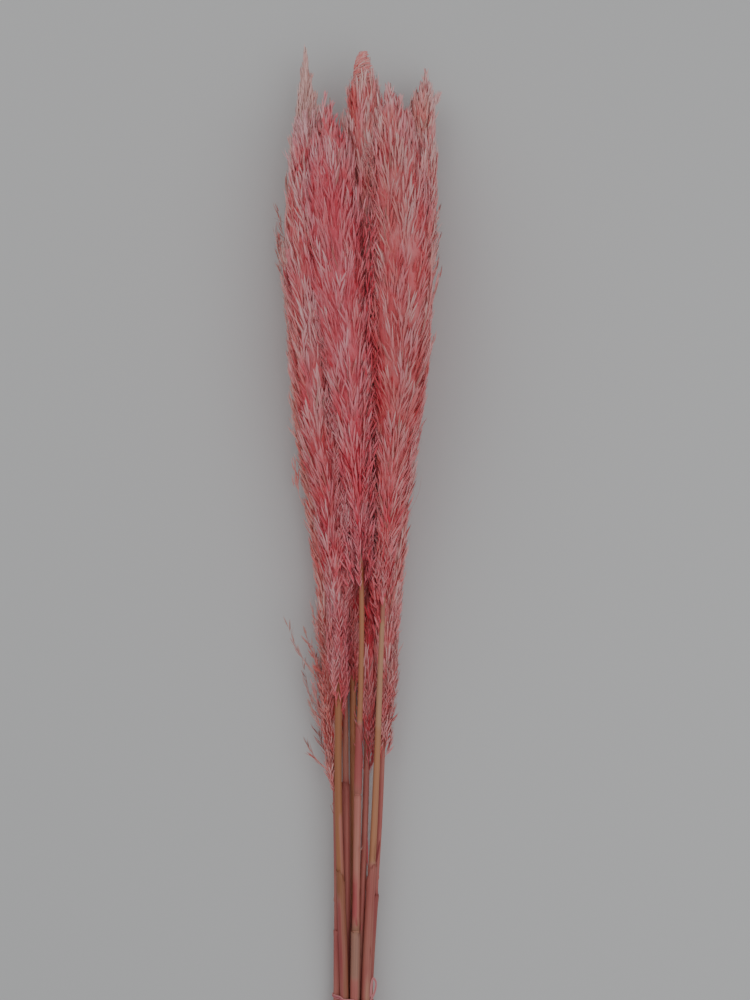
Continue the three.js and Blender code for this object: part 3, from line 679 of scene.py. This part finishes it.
def locks(name, count, grains, ends, standing, draw):
    """The places of the spikelets in a plume's locks. At the share s of its length a lock has the angle
    a + drift (s^1.3 - 0.85), is at 0.3 + (end - 0.3)(1 - (1 - s)^2.2) of the plume's reach plus lift s^4 of its
    radius, and is half (1 - s^3) wide to each side. Some locks stand out, by a greater lift."""
    s = STALKS[name]
    root_y, angle = branch_roots(name, count, draw)
    fullness = np.clip(0.4 + free_radius(name, root_y + 25) / s["radius"], 0.45, 1)
    length = draw.uniform(38, 66, count) * fullness
    length = np.minimum(length, s["tip"] + draw.uniform(-12, 3, count) - root_y)
    end = draw.uniform(*ends, count)
    lift = np.where(draw.random(count) < standing, draw.uniform(0.1, 0.34, count), 0.03)
    lift *= np.clip(0.2 + root_y / 200, 0.2, 1)
    drift = 0.28 * np.tanh(1.1 * np.sin(angle - np.radians(PLUMES[name]["ridge"])))
    drift = drift + draw.normal(0, 0.12, count)
    half = draw.uniform(3.2, 5.4, count) * fullness
    way = 0.14 + 0.86 * ((np.arange(grains) + draw.random((count, grains))) / grains) ** 0.9
    fan = draw.uniform(-1, 1, way.shape)
    root_y, angle, fullness, length, end, lift, drift, half = (
        row[:, None] for row in (root_y, angle, fullness, length, end, lift, drift, half))

    def lifted(way):
        return lift * way**4 * s["radius"]

    def on_lock(way):
        y = root_y + length * way
        turn = angle + drift * (way**1.3 - 0.85)
        share = 0.3 + (end - 0.3) * (1 - np.clip(1 - way, 0, 1) ** 2.2)
        limit = reach(name, y, away(turn), OVERLAP)
        free = limit > FREE * free_radius(name, y)
        out = share * np.where(free, drawn_in(name, y), 1) * (limit - 1.0)
        return rachis(name, y) + away(turn, out + free * lifted(way)), turn, share

    root, turn, share = on_lock(way)
    forward = unit(on_lock(way + 0.04)[0] - root)
    outward, aside = away(turn), away(turn + np.pi / 2)
    root = root + (fan * half * (1 - way**3))[..., None] * aside + draw.normal(0, 0.5, root.shape)
    paler, warmer = draw.normal(0, 1, (count, 1)), draw.normal(0, 1, (count, 1))
    return (root, forward, outward, aside, fan, np.sign(drift), share, way, fullness, paler, warmer,
            np.maximum(lifted(way), 0.4))


def lock_spikelets(name, layer, finest, haired, draw):
    """The spikelets and silky hairs of one layer of locks: each points forward, fans out to its lock's sides,
    and is shorter where the plume is slim. Past the share (finest) of a lock they have a second ring."""
    s, own = STALKS[name], PLUMES[name]
    root, forward, outward, aside, fan, sweep, share, way, fullness, paler, warmer, lifted = layer
    shape = way.shape
    high = np.clip((root[..., 1] - s["tip"] + 60) / 60, 0, 1)
    lean_out = np.radians(draw.normal(8, 6, shape) + 16 * high)
    lean_side = np.radians(14 * fan + 6 * sweep + draw.normal(0, 6 + 5 * high, shape))
    direction = unit(forward + np.tan(lean_out)[..., None] * outward + np.tan(lean_side)[..., None] * aside)
    size = draw.uniform(9.5, 17.5, shape) * np.clip(0.5 + 0.5 * fullness, 0, 1)
    tip = root + direction * size[..., None]
    flyaway = draw.random(shape) < 0.03 + 0.1 * high
    tip = np.where(flyaway[..., None], tip + size[..., None] * (0.25 * outward + [0, 0.15, 0]), tip)
    slim = np.clip(free_radius(name, root[..., 1]) / 9, 0.15 + 0.65 * high, 1)
    over = lifted + slim * (0.2 + 4.5 * high + 3 * flyaway) * draw.random(shape) ** 1.5
    limit = reach(name, tip[..., 1], outward, OVERLAP)
    free = limit > FREE * free_radius(name, tip[..., 1])
    brush = np.where(free, 0.9 * out_from_rachis(name, root), 0)
    tip = held_in(name, tip, np.where(free, over, 0.3), OVERLAP, brush * draw.uniform(0.7, 1.15, shape))
    root = held_in(name, root, np.where(free, lifted, 0), OVERLAP)
    under = under_crown(name, tip) > 12 * draw.random(shape) ** 2
    under &= draw.random(shape) < 0.3 + (root[..., 1] - s["base"]) / 60
    width = draw.uniform(1.5, 2.6, shape) * np.clip(size / 15, 0.6, 1.15)
    keel = unit(outward + draw.normal(0, 0.3, shape)[..., None] * aside)
    bend = size * draw.normal(0.03, 0.03, shape)
    # Paler the further out a spikelet lies in the plume and along its lock: the deeper colour further in is
    # painted shade.
    paleness = 0.3 + 0.24 * np.clip((share - 0.66) / 0.3, 0, 1) + 0.26 * (way - 0.6)
    paleness = paleness + own["pale"] + 0.12 * paler + draw.normal(0, 0.04, shape) + 0.12 * high
    warmth = own["warm"] + 0.15 * warmer + draw.normal(0, 0.05, shape)
    look = dye_and_shade_patches(root, as_look(paleness, warmth, np.where(draw.random(shape) < 0.035, 0.5, 0)))
    picked = under & (draw.random(shape) < haired)
    stretch, lean = draw.uniform(0.8, 1.5, shape)[..., None], draw.normal(0, 0.16, shape + (3,))
    far = held_in(name, root + (tip - root) * stretch + lean * size[..., None], 2.0, -0.8)
    thickness = draw.uniform(0.14, 0.26, shape)

    def chosen(which, *values):
        return (value[which] for value in values)

    fine = way > finest
    return [spikelets(*chosen(fine & under, root, tip, keel, width, bend, look), LONG),
            spikelets(*chosen(~fine & under, root, tip, keel, width, bend, look), SHORT),
            hairs(*chosen(picked, root, far, keel, thickness, look))]


def packed_spikelets(name, count, draw):
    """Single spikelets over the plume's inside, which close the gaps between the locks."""
    s, own = STALKS[name], PLUMES[name]
    root_y, angle = branch_roots(name, count, draw)
    root_y = np.minimum(root_y + draw.uniform(0, 40, count), s["tip"] - 17)
    share = draw.uniform(0.8, 0.95, count) * np.where(root_y > s["tip"] - 45, draw.random(count), 1)
    outward, aside = away(angle), away(angle + np.pi / 2)
    limit = reach(name, root_y, outward, 0) * drawn_in(name, root_y)
    root = rachis(name, root_y) + outward * (share * (limit - 1.5))[:, None]
    lean_out, lean_side = np.radians(draw.normal(5, 3, count)), np.radians(draw.normal(0, 12, count))
    way = [0, 1, 0] + np.tan(lean_out)[:, None] * outward + np.tan(lean_side)[:, None] * aside
    tip = root + draw.uniform(9, 15, count)[:, None] * unit(way)
    root, tip = held_in(name, root, 0, 0), held_in(name, tip, 0, -0.5)
    paleness = 0.3 + own["pale"] + draw.normal(0, 0.13, count)
    look = dye_and_shade_patches(root, as_look(paleness, own["warm"] + draw.normal(0, 0.1, count), 0))
    width = draw.uniform(2.0, 3.0, count)
    under = under_crown(name, tip) > -3 * draw.random(count)
    return spikelets(*(value[under] for value in (root, tip, outward, width, 0 * width, look)), SHORT)


# Tufts that stand out of the plumes at their tops and sides, as (X, Y and Z of the foot, X, Y and Z of the tip,
# spread round the foot, count, paler). The rows along front_left's right side and at the feet of front_right and
# under_right fill the grooves between plumes, and are painted deeper there, as painted shade.
WISPS = {
    "outer_left": [(-42, 352, 25, -40.5, 403, 25, 1.2, 44, 0), (-38, 334, 30, -33, 366, 32, 4, 50, 0.1),
                   (-36, 322, 32, -29, 356, 34, 4, 44, 0.1),
                   (-50, 214, 26, -61.5, 262, 25, 5, 60, 0.02), (-49, 196, 22, -60, 240, 20, 5, 40, 0),
                   (-45, 300, 24, -52, 334, 26, 4, 30, 0.05), (-44, 60, 24, -49.5, 92, 24, 3, 20, 0),
                   (-44, 104, 24, -53, 142, 24, 3, 24, 0), (-46, 155, 24, -53, 186, 24, 3, 24, 0)],
    "left": [(-43, 314, 44, -47, 345, 40, 4, 50, 0.24), (-40, 316, 47, -40, 348, 48, 4, 50, 0.24),
             (-36, 318, 47, -33, 350, 48, 4, 50, 0.2), (-32, 318, 47, -28, 347, 48, 4, 40, 0.16)]
    + [(-20, y, 48, -12, y + 26, 51, 4, 18, -0.02) for y in range(-10, 60, 14)],
    "front_left": [(-26, 328, 55, -25, 361, 53, 2.4, 30, 0.12), (-23, 324, 54, -20.5, 354, 53, 2.4, 30, 0.08),
                   (-21, 318, 54, -16.5, 345, 52, 2.4, 26, 0.04)]
    + [(5, y, z, 11, y + 36, z + 0.5, 6, 20, -0.2) for y in range(16, 250, 13)
       for z in [along(STALKS["front_left"]["z"], y) + 0.55 * free_radius("front_left", y)]]
    + [(-4, y, 50, -12, y + 26, 53, 4, 18, -0.02) for y in range(-4, 70, 14)],
    "centre": [(-2, 331, 42, -9.5, 368, 40, 4, 40, 0), (8, 338, 42, 13.5, 372, 40, 4, 40, 0.05),
               (-4, 310, 44, -9, 340, 42, 3, 26, -0.05)],
    "front_right": [(26, 334, 54, 22, 367, 52, 3.5, 44, 0.15), (30, 328, 54, 30.5, 359, 52, 4, 40, 0.15),
                    (20, 320, 54, 16, 350, 52, 4, 36, 0.12), (34, 318, 53, 37, 350, 50, 4, 36, 0.12),
                    (16, -20, 42, 7, 24, 42, 6, 60, -0.06), (17, -4, 44, 6, 44, 46, 6, 60, -0.06),
                    (15, -40, 36, 9, 2, 38, 5, 44, -0.12)],
    "outer_right": [(49, 345, 24, 50, 385, 24, 2, 30, 0.1), (51, 335, 27, 60, 367, 27, 4, 44, 0.16),
                    (50, 340, 29, 54, 373, 29, 4, 40, 0.16), (47, 335, 28, 42, 367, 28, 4, 44, 0.16),
                    (50, 225, 24, 60, 262, 23, 4, 40, 0.05),
                    (50, 250, 22, 60, 284, 20, 4, 34, 0.05), (47, 150, 24, 55, 186, 24, 3, 24, 0)],
    "under_right": [(10, -60, 18, 6, -14, 24, 6, 60, -0.12), (12, -36, 24, 9, 14, 30, 7, 70, -0.14)],
}


def wisps(name, draw):
    """Each tuft's spikelets start within its spread of the run from its foot to its tip, and lie along it, with
    a lean of about 9 degrees to any side."""
    parts = []
    for *ends, spread, count, paler in WISPS.get(name, []):
        foot, tip = np.array(ends[:3], float), np.array(ends[3:], float)
        run = tip - foot
        t = draw.random(count) ** 1.2 * 0.9
        scatter = draw.normal(0, 0.5, (count, 3)) * spread * (1 - 0.85 * t)[:, None]
        root = foot + t[:, None] * run + scatter
        heading = unit(unit(run) + draw.normal(0, 0.15, (count, 3)) + 0.04 * scatter)
        size = draw.uniform(8, 15, count) * (1 - 0.3 * t)
        size = np.minimum(size, np.maximum(tip[1] + 1 - root[:, 1], 4))
        end = root + size[:, None] * heading
        outward = unit(root + [0, 0, 6.0] - line(name, root[:, 1]) + draw.normal(0, 2, (count, 3)))
        paleness = 0.52 + PLUMES[name]["pale"] + paler + draw.normal(0, 0.1, count)
        look = dye_and_shade_patches(root, as_look(paleness, PLUMES[name]["warm"] + draw.normal(0, 0.1, count), 0))
        width = draw.uniform(1.3, 2.4, count) * (1 - 0.4 * t)
        parts.append(spikelets(root, end, outward, width, size * 0.03, look))
        far = root + (end - root) * draw.uniform(1.0, 1.4, count)[:, None] + 0.6 * scatter
        parts.append(hairs(root, far, outward, draw.uniform(0.14, 0.24, count), look))
    return parts


# Single loose branches, as (Y of the root on the stem, X, Y and Z of the tip).
STRAYS = {
    "outer_left": [(-84, -53, -34, 30), (-80, -39, -40, 38), (-118, -41.5, -64, 16), (-147, -38, -124, 24),
                   (-143, -31, -116, 10), (-128, -36, -92, 32), (204, -62.5, 262, 25), (190, -61.5, 246, 18),
                   (222, -60.5, 278, 27)],
    "outer_right": [(-96, 29.5, -46, 26), (-118, 24, -82, 18), (206, 60.8, 258, 22), (226, 60.2, 280, 17)],
}

# The frayed foot of each plume, as (from Y, to Y, count, direction and spread in degrees from +X, least and
# most distance out), with the Y counted from the plume's base.
FRAYED = {
    "front_left": [(-16, 14, 20, 90, 180, 3, 6), (-14, 90, 50, 0, 60, 6, 13), (-6, 80, 30, 175, 40, 7, 13),
                   (70, 250, 30, 33, 14, 17, 21), (60, 200, 20, 145, 14, 15, 19)],
    "left": [(-14, 40, 44, 100, 150, 4, 9), (-50, 4, 34, 100, 90, 4, 8), (20, 110, 26, 30, 30, 10, 16),
             (60, 200, 24, 63, 12, 18, 22)],
    "front_right": [(-2, 30, 26, 90, 150, 4, 8), (-10, 70, 40, 185, 60, 7, 13), (90, 280, 30, 147, 12, 21, 25)],
    "outer_left": [(-8, 40, 26, 190, 90, 4, 10), (20, 100, 56, 180, 75, 8, 16)],
    "centre": [(-26, 14, 26, 90, 170, 3, 7), (0, 60, 30, 60, 90, 5, 12), (-30, 4, 16, 80, 50, 3, 4.5),
               (150, 370, 34, 86, 12, 21, 26)],
    "outer_right": [(-18, 40, 28, 20, 110, 4, 8), (20, 110, 26, 10, 60, 6, 11)],
    "under_left": [(-22, 20, 24, 130, 160, 4, 9)],
    "under_right": [(-26, 60, 50, 70, 150, 4, 10)],
}


# How far the loose branches reach to the left and the right, and their least height.
LEFT, RIGHT, CLEAR = -64.8, 63.2, 0.8


def kept_near(points, margin):
    """Points brought in to between left and right, or a margin more, and up to the least height."""
    x = np.clip(points[..., 0], LEFT - margin, RIGHT + margin)
    return np.stack([x, points[..., 1], np.maximum(points[..., 2], CLEAR)], -1)


def loose_branches(name, draw):
    """Branches by themselves, from the stem to a tip: each is a long spindle bowed by bow outward, set with
    spikelets that point 12 to 28 degrees off it, by turns to both sides, each with a hair."""
    s, own = STALKS[name], PLUMES[name]
    strays = np.array(STRAYS.get(name, []), float).reshape(-1, 4)
    roots, tips = [line(name, strays[:, 0])], [strays[:, 1:]]
    for low, high, count, towards, spread, least, most in FRAYED[name]:
        y = s["base"] + draw.uniform(low, high, count)
        turn = np.radians(towards + draw.uniform(-spread, spread, count))
        length, out = draw.uniform(22, 44, count), draw.uniform(least, most, count)
        roots.append(line(name, y))
        tips.append(line(name, y + length) + away(turn, out))
    root, tip = np.concatenate(roots), np.concatenate(tips)
    tip[:, 2] = np.maximum(tip[:, 2], 2)
    run = tip - root
    outward = unit(np.cross(np.cross(run, (tip - line(name, tip[:, 1])) + 1e-3), run))
    bow = np.linalg.norm(run, axis=-1) * draw.uniform(0.02, 0.1, len(root))
    warmth = np.clip(own["warm"] + draw.normal(0, 0.12, len(root)), 0, 1)
    stray = np.arange(len(root)) < len(strays)
    dusty = np.where(stray, 0.55, 0.05)
    look = dye_and_shade_patches(tip, as_look(0.35, warmth, dusty))
    parts = [spikelets(root, tip, outward, 0 * bow + 0.8, bow, look, soft=0.2)]

    grains = 13
    t = 0.24 + 0.76 * (np.arange(grains) + draw.random((len(root), grains))) / grains
    at = bowed(root, run, outward, bow, t)
    run, outward, bow, warmth, stray, dusty = (
        row[:, None] for row in (run, outward, bow, warmth, stray, dusty))
    forward = unit(run + (4 * bow * (1 - 2 * t))[..., None] * outward)
    side = unit(np.cross(forward, outward + draw.normal(0, 0.6, at.shape)))
    lean = np.radians(draw.uniform(12, 28, t.shape)) * np.where(np.arange(grains) % 2, 1, -1)
    size = draw.uniform(6, 11, t.shape) * (1 - 0.25 * t) * np.where(stray, 1.45, 1)
    end = kept_near(at + size[..., None] * unit(forward + np.tan(lean)[..., None] * side), 0)
    paleness = 0.42 + own["pale"] + 0.15 * t + draw.normal(0, 0.1, t.shape)
    look = as_look(paleness, warmth + draw.normal(0, 0.08, t.shape), t * dusty)
    patched, look = dye_and_shade_patches(at, look).reshape(-1, 4), look.reshape(-1, 4)
    width = (draw.uniform(1.0, 1.7, t.shape) * np.where(stray, 1.25, 1)).ravel()
    far = kept_near(end + size[..., None] * draw.normal(0, 0.2, end.shape) + forward * 2.5, 0.2)
    at, end, keel, far = (row.reshape(-1, 3) for row in (at, end, unit(outward + 0.5 * side), far))
    parts.append(spikelets(at, end, keel, width, size.ravel() * 0.04, patched, soft=0.2))
    parts.append(hairs(at, far, keel, 0 * width + 0.2, look, paler=0))
    return parts


# Single long bristles, as (X, Y and Z of the foot, X, Y and Z of the tip, bow along X, paleness, dust).
BRISTLES = {
    "outer_right": [(36, 49, 25, 46.5, 79, 26, 3, 0.5, 0.6), (55, 361, 26, 63, 363, 26, 0.5, 0.7, 0.3),
                    (47, 152, 26, 55.5, 170, 26, 1, 0.6, 0.3)],
    "outer_left": [(-53, 267, 25, -64.8, 272.5, 24, 0.5, 0.4, 0.6), (-46, 196, 34, -48.5, 184, 34, 0.5, 1, 0)],
    "front_right": [(25, 226, 73, 36, 197, 69, 1.5, 1, 0), (13, 168, 62, 19, 160, 66, 0.5, 0.9, 0.1)],
    "left": [(-36, 174, 62, -28.5, 164, 66, 1, 1, 0), (-30, 200, 64, -24, 190, 68, 1, 0.9, 0)],
    "front_left": [(-12, 196, 76, -9, 214, 75, -1, 0.95, 0), (-30, 302, 74, -26, 314, 73, 1, 0.95, 0)],
}


def bristles(name):
    """Each is a spindle 0.5 mm wide, bowed by 4 bow t (1 - t)."""
    rows = np.array(BRISTLES.get(name, []), float).reshape(-1, 9)
    root, tip, bow = rows[:, :3], rows[:, 3:6], rows[:, 6]
    outward = np.zeros_like(root) + [1.0, 0, 0.01]
    look = as_look(rows[:, 7], 0.4, rows[:, 8])
    rings = ((0.15, 0.5), (0.35, 0.5), (0.55, 0.45), (0.75, 0.38), (0.9, 0.28))
    return spikelets(root, tip, outward, 0 * bow + 0.5, bow, look, rings, soft=0.2)


def curled_top(name, draw):
    """Curled strands that lie nearly crosswise over the top of a plume: each is an arc of 50 to 85 degrees
    round the rachis, from its left side over to its right, that rises by 1 to 6 mm."""
    count = 230
    y = draw.uniform(368, 393, count)
    start = np.radians(draw.uniform(95, 185, count))
    finish = start - np.radians(draw.uniform(50, 85, count))
    rise = draw.uniform(1, 6, count)

    def over(y, angle):
        out = np.minimum(0.45 + 0.95 * free_radius(name, y + 2), 7.9) + draw.uniform(-0.6, 0.5, count)
        return rachis(name, y) + away(angle, out)

    root, tip = over(y, start), over(np.minimum(y + rise, 394.5), finish)
    middle = (start + finish) / 2
    outward = np.stack([np.cos(middle), 0.3 + 0 * y, np.sin(middle)], -1)
    look = as_look(draw.normal(0.62, 0.14, count), draw.normal(0.85, 0.1, count), 0)
    bend = 0.17 * np.linalg.norm(tip - root, axis=-1)
    rings = ((0.2, 0.42), (0.45, 0.5), (0.75, 0.38))
    return spikelets(root, tip, outward, draw.uniform(0.7, 1.3, count), bend, look, rings)


def plume(name, seed):
    """A plume: its outer locks, its inner ones, single spikelets over its inside, and what stands out."""
    draw = np.random.default_rng(seed)
    outer, inner = PLUMES[name]["locks"]
    layers = (locks(name, outer, 18, (0.86, 1.04), 0.3, draw), 0.45, 0.9), (
        locks(name, inner, 15, (0.74, 0.9), 0, draw), np.inf, 0.1)
    parts = [part for layer in layers for part in lock_spikelets(name, *layer, draw)]
    parts += [packed_spikelets(name, outer * 12, draw), plume_core(name)]
    parts += loose_branches(name, draw) + wisps(name, draw) + [bristles(name)]
    if name == "centre":
        parts.append(curled_top(name, draw))
    return parts


def plume_material():
    """The dyed spikelets: deep crimson through pink to pale tips, from rose to salmon by the look attribute, with
    brown by its third channel and a soft sheen like silk. The deep crimson is partly the dye and partly painted
    shade inside the plumes and in the grooves between them; the brown is partly dust and partly painted shade."""
    material, tree, shader, look = dyed_material("dyed_plume")
    pattern = math(tree, "MULTIPLY_ADD", drawn_out_noise(tree, 900.0, 2.0, 0.1), 0.4,
                   drawn_out_noise(tree, 75.0, 2.0, 0.45))
    level = uneven(tree, look["Red"], pattern, 0.8, mean=0.7)
    rose = ramp(tree, level, [(0, (0.76, 0.045, 0.085)), (0.3, (0.88, 0.155, 0.205)),
                              (0.6, (0.92, 0.305, 0.355)), (1, (0.94, 0.54, 0.57))])
    salmon = ramp(tree, level, [(0, (0.76, 0.055, 0.065)), (0.3, (0.88, 0.19, 0.175)),
                                (0.6, (0.92, 0.36, 0.33)), (1, (0.94, 0.6, 0.55))])
    colour = mix(tree, "MIX", look["Green"], rose, salmon)
    # Brown by the third channel: dust, and painted shade where the patches put it.
    colour = mix(tree, "MIX", look["Blue"], colour, (0.38, 0.19, 0.15, 1))
    feed(tree, shader, {"Base Color": colour, "Roughness": 0.62, "Specular IOR Level": 0.12,
                        "Sheen Weight": 0.06, "Sheen Roughness": 0.45, "Sheen Tint": (1.0, 0.7, 0.68, 1)})
    return material


DYED = plume_material()

for number, name in enumerate(PLUMES):
    *body, normals = join(plume(name, 700 + number))
    feather = skin("plumage_" + name, *body, normals=normals)
    feather.data.materials.append(DYED)
    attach(feather, "root")
    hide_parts("plume_" + name)


# The tie. Each is two turns of dyed raffia round all the stems, low down, drawn into a knot at the upper right
# with one small loop and two short tails. Raffia is strips of palm leaf, so every part is a few flat strands.

# The turns as (Y, lean), and the knot's angle and Y, the same as in the CAD part.
TURNS = ((-315.5, 3.0), (-321.0, 0.6))
KNOT_ANGLE, KNOT_Y = 0.9, -318.6
LOOP = [(8.6, -316, 18.6), (11.6, -309, 18.8), (12.6, -302, 19), (10.8, -298.6, 18.8), (9.4, -303, 19),
        (8.6, -313, 19)]
TAILS = [
    [(8.8, -318, 18), (11, -324, 16), (12.4, -331, 13.2), (12.9, -339, 10.6)],
    [(8, -318, 20), (5.9, -324, 21.4), (3.1, -331, 21.6), (1.4, -337, 21.3)],
]


def tie_point(y, angle, off):
    """The point of the stem that stands out furthest in a direction, and off from its surface."""
    centres = np.stack([line(name, y) for name in STALKS])
    radii = np.stack([stem_radius(name, y) for name in STALKS])
    furthest = (centres[..., 0] * np.cos(angle) + centres[..., 2] * np.sin(angle) + radii).argmax(0)
    place = furthest, np.arange(len(y))
    return centres[place] + away(angle, radii[place] + off)


def strand(path, across, width, thickness, look):
    """A flat strand along a path: rings with half axes width / 2 along across and thickness / 2 along
    forward x across, its ends drawn to a point."""
    forward = unit(np.gradient(path, axis=0))
    across = unit(across - (across * forward).sum(-1, keepdims=True) * forward)
    up = np.cross(forward, across)
    full = np.ones((len(path), 1))
    full[[0, -1]], full[[1, -2]] = 0.02, 0.8
    points = oval_rings(path, 8, full * width / 2, across[:, None], full * thickness / 2, up[:, None])
    distance = np.concatenate([[0], np.cumsum(np.linalg.norm(np.diff(path, axis=0), axis=-1))])
    return tube(points, np.zeros(points.shape[:2] + (4,)) + look, distance)


def curve_through(corners, count):
    """A smooth path of count points through corners: a cubic between each two, whose slope at a corner is half
    the run from the corner before it to the one after."""
    corners = np.array(corners, float)
    ends = np.concatenate([2 * corners[:1] - corners[1:2], corners, 2 * corners[-1:] - corners[-2:-1]])
    t = np.linspace(0, len(corners) - 1 - 1e-9, count)
    i, f = t.astype(int), (t % 1)[:, None]
    a, b, c, d = (ends[i + k] for k in range(4))
    return 0.5 * (2 * b + (c - a) * f + (2 * a - 5 * b + 4 * c - d) * f**2 + (3 * b - a - 3 * c + d) * f**3)


def tie_strands():
    """Every strand of the tie: two turns of six, the knot's coils, and the loop and tails of four each."""
    draw = np.random.default_rng(900)
    made = []

    def add(path, across, width, thickness, paler):
        made.append(strand(path, across, width, thickness, (paler, draw.random(), 0, 1)))

    angle = KNOT_ANGLE + np.linspace(0.12, 2 * np.pi - 0.12, 110)
    for middle, lean in TURNS:
        for place in np.linspace(-1.05, 1.05, 6):
            wave = 0.12 * np.sin(3 * angle + draw.random() * 6)
            off = 0.62 + 0.28 * (draw.random() + np.sin(2 * angle + draw.random() * 6) / 2)
            path = tie_point(middle + place + wave - lean * np.cos(angle), angle, off)
            add(path, np.array([0.0, 1.0, 0.0]), 0.62, 0.34, 0.45 + 0.2 * draw.normal())

    seat = tie_point(np.array([KNOT_Y]), np.array([KNOT_ANGLE]), 1.6)[0]
    radial, tangent = away(KNOT_ANGLE), away(KNOT_ANGLE + np.pi / 2)
    coil = np.linspace(0, 2 * np.pi * 5.3, 180)
    along_knot = coil / coil[-1] - 0.5
    fat = 1 - 0.35 * (along_knot * 2) ** 2
    for shift in (-0.3, 0.3):
        path = seat + np.outer(fat * np.cos(coil), radial) + np.outer(
            2.9 * fat * np.sin(coil) + shift, (0, 1, 0)) + np.outer(3.6 * along_knot, tangent)
        add(path, tangent, 0.75, 0.5, 0.4 + shift)

    for corners, spread, fray in ((LOOP, 0.5, 0), (TAILS[0], 0.75, 1), (TAILS[1], 0.65, 1)):
        path = curve_through(corners, 60)
        facing = unit(np.cross(unit(np.gradient(path, axis=0)), (0.2, 0.0, 1.0)))
        way = np.linspace(0, 1, 60)[:, None]
        for place in (-1, -0.35, 0.35, 1):
            stop = 60 - int(fray * draw.integers(0, 9))
            aside = place * spread * (1 + 0.6 * fray * way**2) + 0.1 * np.sin(9 * way + draw.random() * 6)
            lifted = path + aside * facing + [0, 0, 0.15] * np.sin(7 * way + draw.random() * 6)
            add(lifted[:stop], facing[:stop], 0.6, 0.32, 0.4 + 0.25 * draw.random())
    return made


def raffia_material():
    """Dyed raffia: pink to crimson by the look attribute, with lengthwise fibres, in a dull satin."""
    material, tree, shader, look = dyed_material("dyed_raffia")
    streaks, relief = fibres(tree, 7.0, 0.4, 0.0002)
    pinks = ramp(tree, math(tree, "MULTIPLY_ADD", streaks, 0.4, look["Red"]), [
        (0.3, (0.42, 0.07, 0.1)), (0.6, (0.62, 0.17, 0.2)), (1, (0.8, 0.38, 0.35))])
    feed(tree, shader, {"Base Color": pinks, "Roughness": 0.5, "Normal": relief})
    return material


raffia = skin("raffia_tie", *join(tie_strands()))
raffia.data.materials.append(raffia_material())
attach(raffia, "root")
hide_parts("tie")


# The floor, the light and the camera. The bunch lies on a plain pale surface, under two large soft lights, one
# at the lower right and one at the upper left, and the camera looks down on it from 1.4 m.

floor_mesh = bpy.data.meshes.new("floor")
floor_mesh.from_pydata([(-4, -4, 0), (4, -4, 0), (4, 4, 0), (-4, 4, 0)], [], [(0, 1, 2, 3)])
floor = bpy.data.objects.new("floor", floor_mesh)
bpy.context.scene.collection.objects.link(floor)
paint = bpy.data.materials.new("pale_floor")
paint.use_nodes = True
feed(paint.node_tree, paint.node_tree.nodes["Principled BSDF"],
     {"Base Color": (0.665, 0.665, 0.66, 1), "Roughness": 0.9})
floor_mesh.materials.append(paint)


def soft_light(name, place, aim, size, power, colour):
    """A square area light at place, facing aim."""
    light = bpy.data.lights.new(name, "AREA")
    light.size, light.energy, light.color = size, power, colour
    lamp = bpy.data.objects.new(name, light)
    x, y, z = np.array(place) - np.array(aim)
    lamp.location = place
    lamp.rotation_euler = (np.arctan2(np.hypot(x, y), z), 0, np.arctan2(y, x) + np.pi / 2)
    bpy.context.scene.collection.objects.link(lamp)


soft_light("key", (0.7, -0.2, 1.15), (0.1, -0.15, 0), 1.2, 3.9, (1.0, 0.99, 0.99))
soft_light("fill", (-0.9, 1.1, 1.15), (-0.1, 0.3, 0), 1.4, 4.7, (1.0, 0.98, 0.95))

world = bpy.data.worlds.new("studio")
world.use_nodes = True
feed(world.node_tree, world.node_tree.nodes["Background"], {"Color": (0.9, 0.92, 0.95, 1), "Strength": 0.475})
bpy.context.scene.world = world

# In millimetres, and the view's height is measured at the target.
TARGET = np.array([12.0, 60.0, 25.0])
DISTANCE, VIEW_HEIGHT, FILM_HEIGHT = 1400.0, 750, 36
TILT = np.radians(1)
camera = bpy.data.objects.new("camera", bpy.data.cameras.new("camera"))
camera.data.lens = FILM_HEIGHT * DISTANCE / VIEW_HEIGHT
camera.location = (TARGET + DISTANCE * np.array([0, -np.sin(TILT), np.cos(TILT)])) * MM
camera.rotation_euler = (TILT, 0, 0)
bpy.context.scene.collection.objects.link(camera)
bpy.context.scene.camera = camera
